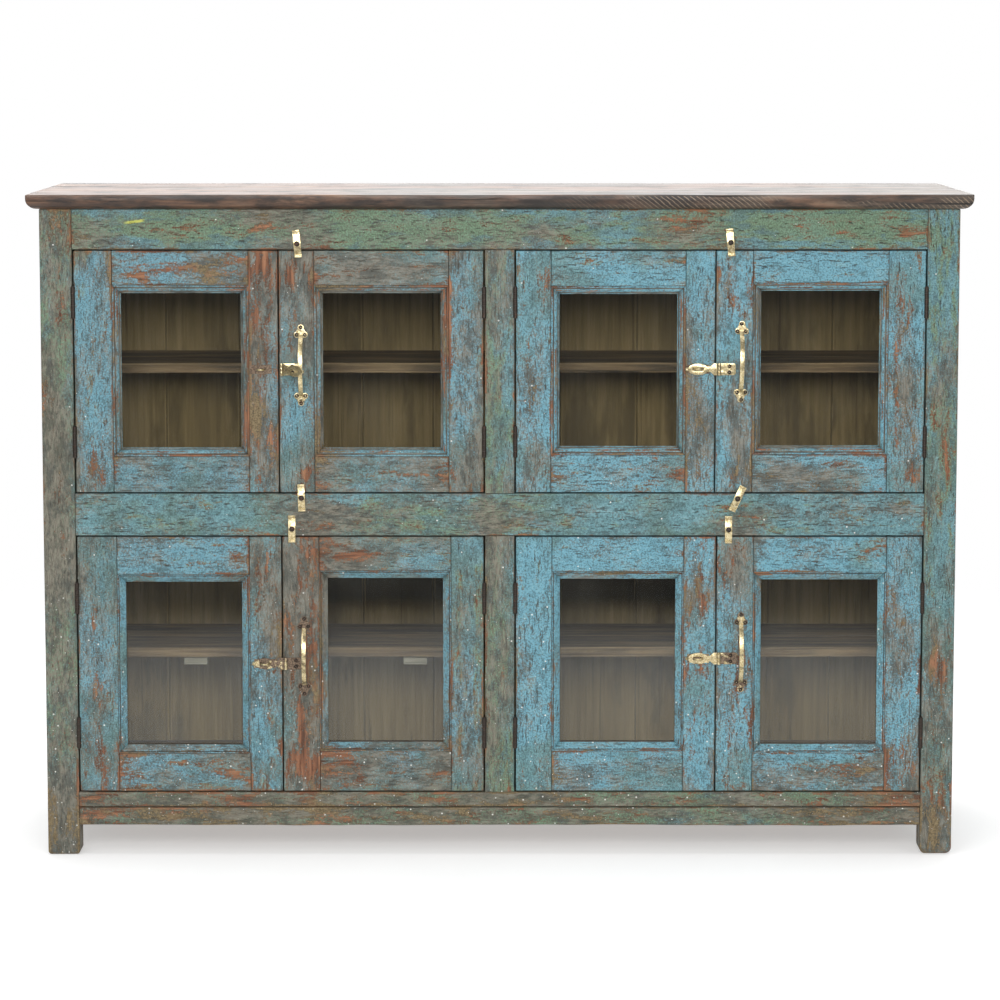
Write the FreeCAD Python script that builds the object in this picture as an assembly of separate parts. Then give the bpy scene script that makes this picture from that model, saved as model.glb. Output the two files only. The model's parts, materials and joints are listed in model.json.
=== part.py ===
import FreeCAD, Part
import math
import os

# A low glazed cabinet: four posts, three front rails, a split centre stile, eight framed glass doors
# in two tiers, half-depth shelves, brass turn buttons, bow handles and hasps. Millimetres, +Z up,
# doors face -Y. The origin is under the middle of the whole object, at the floor.

V = FreeCAD.Vector

# ---- driving dimensions ----
CASE_WIDTH = 1544.0
CASE_DEPTH = 420.0
HEIGHT = 1130.0
TOP_THICK = 25.0
TOP_OVERHANG = 20.0
TOP_ROUND = 18.0
TOP_BOARDS = 3
FRONT_Y = -187.5  # the plane of the front faces; hardware stands in front of it

POST_WIDTH = 54.0
POST_DEPTH = 45.0
CENTRE_STILE = 50.0
RAIL_THICK = 28.0
TENON_LENGTH = 30.0
TENON_THICK = 9.0
TENON_SHOULDER = 8.0

TOP_RAIL_BOTTOM = 1037.0
MIDDLE_RAIL_TOP = 624.0
MIDDLE_RAIL_BOTTOM = 552.0
BOTTOM_RAIL_TOP = 109.5
BOTTOM_RAIL_BOTTOM = 49.6
RAIL_GROOVE_Z = 83.0
RAIL_GROOVE = 2.0

SIDE_RAIL_THICK = 22.0
BOARD_THICK = 12.0
BACK_BOARDS = 12
SIDE_BOARDS = 3
BACK_FACE_DEPTH = 403.0  # from the front plane to the inside of the back boards
SHELF_THICK = 17.6
SHELF_TOPS = {"upper": 828.0, "lower": 326.0}
SHELF_SETBACK = 173.0
BEARER = 20.0
PALE_BLOCK = (42.0, 14.0, 13.0)
PALE_BLOCK_X = (-534.0, -148.0)
DECK_JOINTS = (150.0, 275.0)  # depths where the deck boards meet
REAR_FOOT_ROUND = 5.0
FRONT_FOOT_ROUND = {"post_left": 5.0, "post_right": 9.0}

DOOR_THICK = 25.0
DOOR_GAP = 2.0
HINGE_GAP = 2.4
BEAD_WIDTH = 14.0
BEAD_DEPTH = 12.0
GLASS_THICK = 3.0
GLASS_PLAY = 0.5
STRIP_WIDTH = 9.0
STRIP_DEPTH = 8.0

HINGE_LENGTH = 52.0
KNUCKLES = 5
KNUCKLE_GAP = 0.3
KNUCKLE_R = 3.5
PIN_R = 1.5
PIN_PLAY = 0.06
PIN_HEAD_R = 2.4
PIN_HEAD = 1.2
PIN_AHEAD = 1.5  # the pin's axis stands this far in front of the faces
LEAF_THICK = 1.0
LEAF_START = 2.4
LEAF_END = 22.0
RECESS_R = 4.0
HINGE_Z = {"upper": (712.0, 948.0), "lower": (213.0, 445.0)}

SCREW_R = 1.4
SCREW_HEAD_R = 3.0
SCREW_CROWN = 1.8
SCREW_LENGTH = 12.0
LEAF_SCREW_HEAD_R = 3.0
LEAF_SCREW_R = 1.5
LEAF_SCREW_LENGTH = 13.0
LEAF_SCREW_DEPTH = 12.5
LEAF_SCREW_PITCH = 16.0  # above and below the hinge's middle

BUTTON_LENGTH = 46.0
BUTTON_WIDTH = 12.0
BUTTON_THICK = 4.2
BUTTON_BORE_PLAY = 0.07
BUTTON_SCREW_R = 2.0
BUTTON_SCREW_HEAD_R = 4.6
BUTTON_SCREW_CROWN = 2.2
BUTTON_SCREW_LENGTH = 22.0
BUTTON_END_PLAY = 0.12
BUTTON_WASHER_R = 5.4
BUTTON_OFF = 0.9

HANDLE_SPAN = 52.0  # half the bar's chord
HANDLE_WIDTH = 7.0
HANDLE_THICK = 5.5
ROSE_THICK = 2.0
ROSE_R = 7.5
ROSE_LOBE_R = 5.3
ROSE_LOBES = ((0.0, 7.5), (6.2, -4.0), (-6.2, -4.0))
ROSE_SCREWS_OUT = 1.12
ROSE_PITCH = 56.0  # from the handle's middle to each rose's centre

HASP_AXIS_AHEAD = 3.1
HASP_KNUCKLE_R = 3.0
HASP_PIN_R = 1.2
HASP_HALF_HEIGHT = 10.0
HASP_THICK = 1.6
HASP_SCREW_SHARE = 0.62  # how far along the plate its screws are
HASP_SCREW_RISE = 5.2
STRAP_REACH = 54.0
STRAP_BACK = 1.7  # the closed strap's back stands this far off the door
STAPLE_REACH = 35.0
STAPLE_WIRE_R = 1.5
STAPLE_HALF = 6.5
STAPLE_OUT = 13.0
STAPLE_LEG = 8.0
STAPLE_PLATE = (37.0, 15.0, 1.2)
STAPLE_SCREW_INSET = 4.0
STAPLE_SCREW_LENGTH = 11.0
OPEN_STRAP_DEG = 134.0

# ---- the eight doors: tier, hinge side, width of hinge stile, meeting stile, top rail, bottom rail ----
# Each width includes the bead, and they differ a little because the doors were made by hand.
DOORS = {
    "upper_door_1": ("upper", "left", 78.0, 63.0, 72.0, 75.0),
    "upper_door_2": ("upper", "right", 72.0, 73.0, 72.0, 75.0),
    "upper_door_3": ("upper", "left", 73.0, 63.0, 73.5, 77.5),
    "upper_door_4": ("upper", "right", 76.0, 76.0, 68.0, 78.5),
    "lower_door_1": ("lower", "left", 81.0, 68.0, 78.5, 79.0),
    "lower_door_2": ("lower", "right", 69.0, 76.0, 72.0, 83.5),
    "lower_door_3": ("lower", "left", 75.0, 68.0, 73.5, 83.5),
    "lower_door_4": ("lower", "right", 74.0, 76.0, 74.5, 80.0),
}
# Where the two doors of each bay meet.
MEETING_X = {
    ("upper", 0): -372.0,
    ("upper", 1): 363.0,
    ("lower", 0): -369.0,
    ("lower", 1): 367.0,
}
# Hasps and handles sit on each bay's right-hand door: the hasp's height and pin distance from the
# door's meeting edge, the plate's length, and the handle's height, distance, lean and projection.
FITTINGS = {
    "upper_door_2": (835.0, 3.6, 30.0, 842.0, 36.5, 0.0, 28.0),
    "upper_door_4": (835.4, 5.2, 28.0, 848.0, 42.5, 0.8, 28.0),
    "lower_door_2": (332.5, 4.5, 28.0, 345.0, 36.0, 0.0, 25.0),
    "lower_door_4": (341.4, 4.0, 32.0, 352.0, 41.5, 0.0, 25.0),
}
# Turn buttons: pivot x, z and lean in degrees, positive with the top towards +X.
BUTTONS = {
    "turn_button_top_left": (-339.7, 1046.7, -5.0),
    "turn_button_top_right": (387.1, 1049.0, -5.0),
    "turn_button_middle_left": (-335.2, 617.0, -2.0),
    "turn_button_middle_right": (402.0, 615.5, 25.0),
    "turn_button_lower_left": (-351.6, 564.0, 0.0),
    "turn_button_lower_right": (387.1, 562.7, 0.0),
}

# ---- derived places ----
HALF_CASE = CASE_WIDTH / 2
POST_INNER = HALF_CASE - POST_WIDTH
HALF_STILE = CENTRE_STILE / 2
SLAB_UNDER = HEIGHT - TOP_THICK
SIDE_BOARD_OUT = HALF_CASE - SIDE_RAIL_THICK
SIDE_BOARD_IN = SIDE_BOARD_OUT - BOARD_THICK
TIER_Z = {
    "upper": (MIDDLE_RAIL_TOP, TOP_RAIL_BOTTOM),
    "lower": (BOTTOM_RAIL_TOP, MIDDLE_RAIL_BOTTOM),
}
BAY_X = [(-POST_INNER, -HALF_STILE), (HALF_STILE, POST_INNER)]

nodes = {}
holes = {"door": {}, "post_left": [], "post_right": [], "stiles": [], "rails": []}


# ---- helpers ----
def block(x0, x1, d0, d1, z0, z1):
    """A box between x0 and x1, from depth d0 to d1 behind the front plane, between z0 and z1."""
    return Part.makeBox(x1 - x0, d1 - d0, z1 - z0, V(x0, FRONT_Y + d0, z0))


def at(x, depth, z):
    """A point at a depth behind the front plane."""
    return V(x, FRONT_Y + depth, z)


def rod(radius, start, end):
    """A round bar between two points."""
    way = end - start
    return Part.makeCylinder(radius, way.Length, start, way)


def outline(points):
    """A closed polygon's wire."""
    return Part.makePolygon(list(points) + [points[0]])


def extrude(points, way):
    """A prism from a flat outline."""
    return Part.Face(outline(points)).extrude(way)


def cut(shape, tools):
    """shape without the tools that come near it."""
    near = [t for t in tools if t.BoundBox.intersect(shape.BoundBox)]
    return shape.cut(near) if near else shape


def add(name, solids):
    """Keeps a node as a group of its separate solids."""
    loose = []
    for shape in solids:
        loose += shape.Solids
    nodes[name] = loose


def dome(x, z, depth, radius, crown):
    """A round screw head standing forward from a face at a depth."""
    ball_r = (radius ** 2 + crown ** 2) / (2 * crown)
    ball = Part.makeSphere(ball_r, at(x, depth - crown + ball_r, z))
    return ball.common(block(x - radius, x + radius, depth - crown, depth, z - radius, z + radius))


def front_screw(x, z, head_depth):
    """A round-headed screw driven back into the front: its head stands on a face at head_depth."""
    shank = rod(SCREW_R, at(x, head_depth, z), at(x, head_depth + SCREW_LENGTH, z))
    return shank.fuse(dome(x, z, head_depth, SCREW_HEAD_R, SCREW_CROWN)).removeSplitter()


def leaf_screw(x, side, depth, z):
    """A countersunk screw through a hinge leaf, driven sideways into the wood."""
    way = V(side, 0, 0)
    start = at(x, depth, z)
    head = Part.makeCone(LEAF_SCREW_HEAD_R, LEAF_SCREW_R + 0.1, LEAF_THICK, start, way)
    shank = Part.makeCylinder(LEAF_SCREW_R, LEAF_SCREW_LENGTH, start + way * LEAF_THICK, way)
    return head.fuse(shank).removeSplitter()


def tenoned_rail(x0, x1, z0, z1):
    """A front rail with a tenon at each end."""
    body = block(x0, x1, 0, RAIL_THICK, z0, z1)
    tenon_d = (RAIL_THICK - TENON_THICK) / 2
    tenon = block(x0 - TENON_LENGTH, x1 + TENON_LENGTH, tenon_d, tenon_d + TENON_THICK,
                  z0 + TENON_SHOULDER, z1 - TENON_SHOULDER)
    return body.fuse(tenon).removeSplitter()


def stile_piece(z0, z1, depth):
    """One length of the centre stile, tenoned into the rails above and below."""
    reach = TENON_LENGTH * 0.6
    tenon_d = (depth - TENON_THICK) / 2
    body = block(-HALF_STILE, HALF_STILE, 0, depth, z0, z1)
    tenon = block(-HALF_STILE + TENON_SHOULDER, HALF_STILE - TENON_SHOULDER, tenon_d,
                  tenon_d + TENON_THICK, z0 - reach, z1 + reach)
    return body.fuse(tenon).removeSplitter()


# ---- hinges ----
def door_place(name):
    """The door's bay, hinge axis x, side sign (+1 when hinged on its left) and x of both edges."""
    tier, hinged = DOORS[name][0], DOORS[name][1]
    bay = (int(name[-1]) - 1) // 2
    left, right = BAY_X[bay]
    meeting = MEETING_X[tier, bay]
    if hinged == "left":
        return bay, left + HINGE_GAP / 2, 1, left + HINGE_GAP, meeting - DOOR_GAP / 2
    return bay, right - HINGE_GAP / 2, -1, meeting + DOOR_GAP / 2, right - HINGE_GAP


def hinge(axis_x, side, z):
    """Door leaf, fixed leaf, pin, their screws and the round recess for the wood."""
    bottom, pitch = z - HINGE_LENGTH / 2, HINGE_LENGTH / KNUCKLES
    inner = LEAF_THICK * 0.2
    pin_at = at(axis_x, -PIN_AHEAD, 0)

    def leaf(away, mine):
        near, far = sorted((axis_x + away * inner, axis_x + away * (inner + LEAF_THICK)))
        parts = [block(near, far, LEAF_START, LEAF_END, bottom, bottom + HINGE_LENGTH)]
        for k in mine:
            z0 = bottom + k * pitch + KNUCKLE_GAP / 2
            z1 = bottom + (k + 1) * pitch - KNUCKLE_GAP / 2
            parts.append(Part.makeCylinder(KNUCKLE_R, z1 - z0, pin_at + V(0, 0, z0)))
            parts.append(block(near, far, 0, LEAF_START, z0, z1))
        bore = Part.makeCylinder(PIN_R + PIN_PLAY, HINGE_LENGTH, pin_at + V(0, 0, bottom))
        whole = parts[0].fuse(parts[1:]).cut(bore)
        screws = [leaf_screw(axis_x + away * inner, away, LEAF_SCREW_DEPTH, z + dz)
                  for dz in (-LEAF_SCREW_PITCH, LEAF_SCREW_PITCH)]
        return whole.cut(screws).removeSplitter(), screws

    door_leaf, door_screws = leaf(side, (1, 3))
    fixed_leaf, fixed_screws = leaf(-side, (0, 2, 4))
    top = bottom + HINGE_LENGTH
    pin = Part.makeCylinder(PIN_R, HINGE_LENGTH, pin_at + V(0, 0, bottom))
    for z0 in (bottom - PIN_HEAD, top):
        pin = pin.fuse(Part.makeCylinder(PIN_HEAD_R, PIN_HEAD, pin_at + V(0, 0, z0)))
    recess = Part.makeCylinder(RECESS_R, HINGE_LENGTH + 4, pin_at + V(0, 0, bottom - 2))
    return door_leaf, fixed_leaf, pin.removeSplitter(), door_screws, fixed_screws, recess


fixed_leaves, pins = [], []
door_leaves = {}
for door in DOORS:
    tier = DOORS[door][0]
    _bay, axis_x, side, _x0, _x1 = door_place(door)
    door_leaves[door], holes["door"][door] = [], []
    outer_door = door[-1] in "14"
    carrier = "stiles" if not outer_door else ("post_left" if side > 0 else "post_right")
    for hinge_z in HINGE_Z[tier]:
        leaf, fixed, pin, d_screws, f_screws, recess = hinge(axis_x, side, hinge_z)
        door_leaves[door] += [leaf, *d_screws]
        holes["door"][door] += [recess, *d_screws]
        fixed_leaves += [fixed, *f_screws]
        pins.append(pin)
        holes[carrier] += [recess, *f_screws]


# ---- door frames, beads, glass ----
def bead_profile(tier):
    """The bead's section as (across from the wood to the glass opening, depth) points."""
    if tier == "upper":
        flat, step = 3.5, 2.2
        points = [(0, BEAD_DEPTH), (0, 1.0), (flat, 1.0), (flat, 1.0 + step)]
        radius = 7.0
        for k in range(1, 7):
            turn = math.radians(90 * k / 6)
            points.append((flat + radius * math.sin(turn), 1.0 + step + radius * (1 - math.cos(turn)) * 0.8))
        return points + [(BEAD_WIDTH, 1.0 + step + radius * 0.8 + 0.6), (BEAD_WIDTH, BEAD_DEPTH)]
    return [(0, BEAD_DEPTH), (0, 0.8), (2.0, 0.8), (2.0, 3.2), (3.6, 3.2), (3.6, 1.0),
            (BEAD_WIDTH, 8.5), (BEAD_WIDTH, BEAD_DEPTH)]


def mitred_ring(x0, x1, z0, z1, width, profile):
    """Four mitred lengths of moulding round the inside of a rectangle."""
    pieces = []
    mid_x, mid_z = (x0 + x1) / 2, (z0 + z1) / 2
    for corner, along, inward in (
        ((x0, z0), (1, 0), (0, 1)), ((x1, z0), (0, 1), (-1, 0)),
        ((x1, z1), (-1, 0), (0, -1)), ((x0, z1), (0, -1), (1, 0)),
    ):
        length = (x1 - x0) if along[0] else (z1 - z0)
        section = [at(corner[0] + inward[0] * w, d, corner[1] + inward[1] * w) for w, d in profile]
        bar = extrude(section, V(along[0] * length, 0, along[1] * length))
        a = V(corner[0], FRONT_Y - 5, corner[1])
        ahead, across = V(along[0], 0, along[1]), V(inward[0], 0, inward[1])
        trapezoid = [a, a + ahead * length, a + ahead * (length - width) + across * width,
                     a + ahead * width + across * width]
        pieces.append(bar.common(extrude(trapezoid, V(0, 60, 0))))
    return pieces


def door_opening(name):
    """The wood's inner rectangle, before the bead."""
    tier, _hinged, hinge_w, meet_w, top_w, bottom_w = DOORS[name]
    _bay, _axis, side, x0, x1 = door_place(name)
    z0, z1 = TIER_Z[tier][0] + DOOR_GAP, TIER_Z[tier][1] - DOOR_GAP
    left_w, right_w = (hinge_w, meet_w) if side > 0 else (meet_w, hinge_w)
    return (x0 + left_w - BEAD_WIDTH, x1 - right_w + BEAD_WIDTH,
            z0 + bottom_w - BEAD_WIDTH, z1 - top_w + BEAD_WIDTH)


def build_door(name, extra_holes):
    """Stiles full height, rails tenoned between them, a mitred bead in front of the pane and
    mitred strips behind it."""
    tier = DOORS[name][0]
    _bay, _axis, _side, x0, x1 = door_place(name)
    z0, z1 = TIER_Z[tier][0] + DOOR_GAP, TIER_Z[tier][1] - DOOR_GAP
    ox0, ox1, oz0, oz1 = door_opening(name)
    reach = TENON_LENGTH
    tenon_d = (DOOR_THICK - TENON_THICK) / 2
    rails, mortises = [], []
    for lo, hi in ((z0, oz0), (oz1, z1)):
        tenon = block(ox0 - reach, ox1 + reach, tenon_d, tenon_d + TENON_THICK,
                      lo + TENON_SHOULDER, hi - TENON_SHOULDER)
        rails.append(block(ox0, ox1, 0, DOOR_THICK, lo, hi).fuse(tenon).removeSplitter())
        mortises.append(tenon)
    stiles = [block(x0, ox0, 0, DOOR_THICK, z0, z1), block(ox1, x1, 0, DOOR_THICK, z0, z1)]
    stiles = [cut(s, mortises) for s in stiles]
    wood = [cut(s, holes["door"][name] + extra_holes) for s in stiles + rails]
    bead = mitred_ring(ox0, ox1, oz0, oz1, BEAD_WIDTH, bead_profile(tier))
    strip_d = BEAD_DEPTH + GLASS_THICK
    strip = [(0, strip_d), (STRIP_WIDTH, strip_d), (STRIP_WIDTH, strip_d + STRIP_DEPTH * 0.6),
             (STRIP_WIDTH * 0.5, strip_d + STRIP_DEPTH), (0, strip_d + STRIP_DEPTH)]
    strips = mitred_ring(ox0, ox1, oz0, oz1, STRIP_WIDTH, strip)
    add(name + "_frame", wood + bead + strips)
    play = GLASS_PLAY
    add(name + "_glass", [block(ox0 + play, ox1 - play, BEAD_DEPTH, strip_d, oz0 + play, oz1 - play)])
    add(name + "_hinge_leaves", door_leaves[name])


# ---- handles, hasps, staples, buttons ----
def trefoil(x, z, away):
    """A three-lobed rose plate whose single lobe points away (+1 up, -1 down)."""
    lobes = [(dx, dz * away) for dx, dz in ROSE_LOBES]
    plate = rod(ROSE_R, at(x, -ROSE_THICK, z), at(x, 0, z))
    for dx, dz in lobes:
        plate = plate.fuse(rod(ROSE_LOBE_R, at(x + dx, -ROSE_THICK, z + dz), at(x + dx, 0, z + dz)))
    out = ROSE_SCREWS_OUT
    screws = [front_screw(x + dx * out, z + dz * out, -ROSE_THICK) for dx, dz in lobes]
    return plate.removeSplitter(), screws


def arc_edge(x, half, foot, crest, z):
    """An arc in the side view, from foot to foot by way of its crest."""
    return Part.Arc(at(x, foot, z - half), at(x, crest, z), at(x, foot, z + half)).toShape()


def bow_handle(x, z, lean, projection):
    """The bar, bowed like a D and fused to its two roses, with its screws."""
    edge_x = x - HANDLE_WIDTH / 2
    foot = -ROSE_THICK
    outer = arc_edge(edge_x, HANDLE_SPAN, foot, -projection, z)
    inner = arc_edge(edge_x, HANDLE_SPAN - HANDLE_THICK * 1.3, foot, -projection + HANDLE_THICK, z)
    ends = []
    for sign in (-1, 1):
        a = at(edge_x, foot, z + sign * HANDLE_SPAN)
        b = at(edge_x, foot, z + sign * (HANDLE_SPAN - HANDLE_THICK * 1.3))
        ends.append(Part.LineSegment(a, b).toShape())
    face = Part.Face(Part.Wire(Part.__sortEdges__([outer, inner, *ends])))
    bar = face.extrude(V(HANDLE_WIDTH, 0, 0))
    solid, screws = bar, []
    for away in (-1, 1):
        rose, rose_screws = trefoil(x, z + away * ROSE_PITCH, away)
        solid = solid.fuse(rose)
        screws += rose_screws
    solid = solid.removeSplitter().cut(screws)
    turned = [solid, *screws]
    for shape in turned:
        shape.rotate(at(x, 0, z), V(0, 1, 0), lean)
    return turned


def barrel(axis_x, z0, z1):
    """One knuckle of a hasp, without its bore."""
    return rod(HASP_KNUCKLE_R, at(axis_x, -HASP_AXIS_AHEAD, z0), at(axis_x, -HASP_AXIS_AHEAD, z1))


def hasp_plate(axis_x, z, length):
    """The hasp's fixed plate on the door, its two outer knuckles, pin and screws."""
    half, gap = HASP_HALF_HEIGHT, KNUCKLE_GAP
    start = axis_x + HASP_KNUCKLE_R + 0.5
    plate = block(start, axis_x + length, -HASP_THICK, 0, z - half, z + half)
    edge = [e for e in plate.Edges if abs(e.CenterOfMass.x - axis_x - length) < 0.01
            and abs(e.Length - HASP_THICK) < 0.01]
    plate = plate.makeFillet(4.0, edge)
    inner = half / 3
    for z0, z1 in ((z - half, z - inner - gap), (z + inner + gap, z + half)):
        tab = block(axis_x, start, -HASP_THICK, 0, z0, z1)
        plate = plate.fuse([barrel(axis_x, z0, z1), tab])
    bore = rod(HASP_PIN_R + PIN_PLAY, at(axis_x, -HASP_AXIS_AHEAD, z - half - 1),
               at(axis_x, -HASP_AXIS_AHEAD, z + half + 1))
    pin = rod(HASP_PIN_R, at(axis_x, -HASP_AXIS_AHEAD, z - half - 0.6),
              at(axis_x, -HASP_AXIS_AHEAD, z + half + 0.6))
    screw_x = axis_x + length * HASP_SCREW_SHARE
    screws = [front_screw(screw_x, z + dz, -HASP_THICK) for dz in (-HASP_SCREW_RISE, HASP_SCREW_RISE)]
    plate = plate.cut([bore, *screws]).removeSplitter()
    return [plate, pin, *screws]


def ellipse_prism(cx, z, half_long, half_high, depth0, depth1):
    """An oval plate between two depths."""
    centre = at(cx, depth0, z)
    oval = Part.Ellipse(centre + V(half_long, 0, 0), centre + V(0, 0, half_high), centre)
    return Part.Face(Part.Wire(oval.toShape())).extrude(V(0, depth1 - depth0, 0))


def hasp_strap(axis_x, z, open_deg):
    """The swinging strap: a middle knuckle, a flared root, a leaf with a slot and a round tip."""
    half, gap = HASP_HALF_HEIGHT, KNUCKLE_GAP
    back, front = -STRAP_BACK, -STRAP_BACK - HASP_THICK
    mid = half / 3
    start = axis_x - HASP_KNUCKLE_R - 0.5
    neck = [(start, half), (start - 5, half), (start - 11, 4.5), (start - 18, 4.5),
            (start - 18, -4.5), (start - 11, -4.5), (start - 5, -half), (start, -half)]
    strap = extrude([at(x, front, z + dz) for x, dz in neck], V(0, HASP_THICK, 0))
    leaf_x = axis_x - STAPLE_REACH
    leaf = ellipse_prism(leaf_x, z, 17.0, 9.5, front, back)
    stem = block(axis_x - STRAP_REACH, leaf_x - 13, front, back, z - 2.6, z + 2.6)
    tip_x = axis_x - STRAP_REACH
    tip = Part.makeSphere(3.2, at(tip_x, front, z)).common(
        block(tip_x - 5, tip_x + 5, front - 5, back, z - 5, z + 5))
    tab = block(start, axis_x, front, back, z - mid + gap, z + mid - gap)
    knuckle = barrel(axis_x, z - mid + gap, z + mid - gap)
    slot_half, slot_r = 9.5, 3.0
    slot = block(leaf_x - slot_half + slot_r, leaf_x + slot_half - slot_r, front - 1, back + 1,
                 z - slot_r, z + slot_r)
    for sign in (-1, 1):
        end_x = leaf_x + sign * (slot_half - slot_r)
        slot = slot.fuse(rod(slot_r, at(end_x, front - 1, z), at(end_x, back + 1, z)))
    bore = rod(HASP_PIN_R + PIN_PLAY, at(axis_x, -HASP_AXIS_AHEAD, z - half),
               at(axis_x, -HASP_AXIS_AHEAD, z + half))
    strap = strap.fuse([leaf, stem, tip, tab, knuckle]).cut([slot, bore]).removeSplitter()
    strap.rotate(at(axis_x, -HASP_AXIS_AHEAD, z), V(0, 0, 1), open_deg)
    return strap


def staple(x, z):
    """A wire eye standing out of a screwed plate. The shackle passes through it along Z."""
    long, high, thick = STAPLE_PLATE
    plate = block(x - long / 2, x + long / 2, -thick, 0, z - high / 2, z + high / 2)
    out = -STAPLE_OUT + STAPLE_WIRE_R + STAPLE_HALF
    path = [
        Part.LineSegment(at(x - STAPLE_HALF, STAPLE_LEG, z), at(x - STAPLE_HALF, out, z)).toShape(),
        Part.Arc(at(x - STAPLE_HALF, out, z), at(x, out - STAPLE_HALF, z),
                 at(x + STAPLE_HALF, out, z)).toShape(),
        Part.LineSegment(at(x + STAPLE_HALF, out, z), at(x + STAPLE_HALF, STAPLE_LEG, z)).toShape(),
    ]
    circle = Part.Wire(Part.makeCircle(STAPLE_WIRE_R, at(x - STAPLE_HALF, STAPLE_LEG, z), V(0, 1, 0)))
    eye = Part.Wire(path).makePipeShell([circle], True, False)
    reach = long / 2 - STAPLE_SCREW_INSET
    screws = [flush_screw(x + dx, z, thick) for dx in (-reach, reach)]
    plate = plate.cut([eye, *screws])
    return plate, eye, screws


def flush_screw(x, z, thick):
    """A countersunk screw whose head is flush with a thin plate on the front."""
    head = Part.makeCone(SCREW_HEAD_R - 0.1, SCREW_R + 0.1, thick, at(x, -thick, z), V(0, 1, 0))
    return head.fuse(rod(SCREW_R, at(x, 0, z), at(x, STAPLE_SCREW_LENGTH, z))).removeSplitter()


def turn_button(x, z, lean):
    """A brass button with thumb lips at both ends, bored for its screw."""
    half = BUTTON_LENGTH / 2
    heights = [(half, 4.4), (half - 2.6, 4.4), (half - 3.4, 2.4), (half - 5.2, 2.4),
               (half - 6.0, 3.2), (9.0, 3.2), (6.5, BUTTON_THICK)]
    side = heights + [(-p, h) for p, h in reversed(heights)]
    edge_x = x - BUTTON_WIDTH / 2
    points = [at(edge_x, -BUTTON_OFF, z + half)] + \
        [at(edge_x, -BUTTON_OFF - h, z + p) for p, h in side] + \
        [at(edge_x, -BUTTON_OFF, z - half)]
    bar = extrude(points, V(BUTTON_WIDTH, 0, 0))
    bore = rod(BUTTON_SCREW_R + BUTTON_BORE_PLAY, at(x, -10, z), at(x, 0, z))
    bar = bar.cut(bore)
    bar.rotate(at(x, 0, z), V(0, 1, 0), lean)
    return bar


def button_screw(x, z):
    """The pivot screw and the washer behind the button."""
    front = -BUTTON_OFF - BUTTON_THICK - BUTTON_END_PLAY
    shank = rod(BUTTON_SCREW_R, at(x, front, z), at(x, BUTTON_SCREW_LENGTH, z))
    head = dome(x, z, front, BUTTON_SCREW_HEAD_R, BUTTON_SCREW_CROWN)
    screw = shank.fuse(head).removeSplitter()
    washer = rod(BUTTON_WASHER_R, at(x, -BUTTON_OFF + BUTTON_END_PLAY, z), at(x, 0, z)).cut(screw)
    return screw, washer


straps = {
    "upper_door_2": "hasp_strap_upper_left", "upper_door_4": "hasp_strap_upper_right",
    "lower_door_2": "hasp_strap_lower_left", "lower_door_4": "hasp_strap_lower_right",
}
door_holes = {name: [] for name in DOORS}
for door, (hasp_z, pin_in, plate_length, handle_z, handle_in, lean, out) in FITTINGS.items():
    edge = door_place(door)[3]
    axis_x = edge + pin_in
    fixed = hasp_plate(axis_x, hasp_z, plate_length)
    handle = bow_handle(edge + handle_in, handle_z, lean, out)
    add(door + "_handle_and_hasp_plate", handle + fixed)
    door_holes[door] += handle[1:] + fixed[2:]
    is_open = door == "upper_door_2"
    add(straps[door], [hasp_strap(axis_x, hasp_z, OPEN_STRAP_DEG if is_open else 0.0)])
    keeper = door[:-1] + str(int(door[-1]) - 1)
    plate, eye, screws = staple(axis_x - STAPLE_REACH, hasp_z)
    add(keeper + "_staple", [plate, eye, *screws])
    door_holes[keeper] += [eye, *screws]

button_screws = []
for name, (x, z, lean) in BUTTONS.items():
    add(name, [turn_button(x, z, lean)])
    screw, washer = button_screw(x, z)
    button_screws += [screw, washer]
    holes["rails"].append(screw)
add("button_screws", button_screws)

for name in DOORS:
    build_door(name, door_holes[name])

# ---- carcass ----
def foot_rounded(post, radius):
    """A post with its bottom edges worn round."""
    low = [e for e in post.Edges if e.BoundBox.ZMax < 0.01]
    return post.makeFillet(radius, low)


rail_spans = {
    "top_rail": (TOP_RAIL_BOTTOM, SLAB_UNDER),
    "middle_rail": (MIDDLE_RAIL_BOTTOM, MIDDLE_RAIL_TOP),
    "bottom_rail": (BOTTOM_RAIL_BOTTOM, BOTTOM_RAIL_TOP),
}
upper_stile = stile_piece(MIDDLE_RAIL_TOP, TOP_RAIL_BOTTOM, RAIL_THICK)
lower_stile = stile_piece(BOTTOM_RAIL_TOP, MIDDLE_RAIL_BOTTOM, RAIL_THICK)
front_rails = {k: tenoned_rail(-POST_INNER, POST_INNER, *v) for k, v in rail_spans.items()}
for name, rail in front_rails.items():
    rail = cut(rail, [upper_stile, lower_stile] + holes["rails"])
    if name == "bottom_rail":
        rail = rail.cut(block(-POST_INNER, POST_INNER, -1, RAIL_GROOVE,
                              RAIL_GROOVE_Z, RAIL_GROOVE_Z + RAIL_GROOVE))
    add(name, [rail])
add("centre_stiles", [cut(s, holes["stiles"]) for s in (upper_stile, lower_stile)])

post_blocks = []
for name, side in (("post_left", -1), ("post_right", 1)):
    lo, hi = sorted((side * POST_INNER, side * HALF_CASE))
    square = block(lo, hi, 0, POST_DEPTH, 0, SLAB_UNDER)
    post_blocks.append(square)
    post = foot_rounded(square, FRONT_FOOT_ROUND[name])
    add("front_" + name, [cut(post, list(front_rails.values()) + holes[name])])
rear_posts = []
for side in (-1, 1):
    lo, hi = sorted((side * POST_INNER, side * HALF_CASE))
    square = block(lo, hi, CASE_DEPTH - POST_DEPTH, CASE_DEPTH, 0, SLAB_UNDER)
    post_blocks.append(square)
    rear_posts.append(foot_rounded(square, REAR_FOOT_ROUND))
add("rear_posts", rear_posts)

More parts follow.
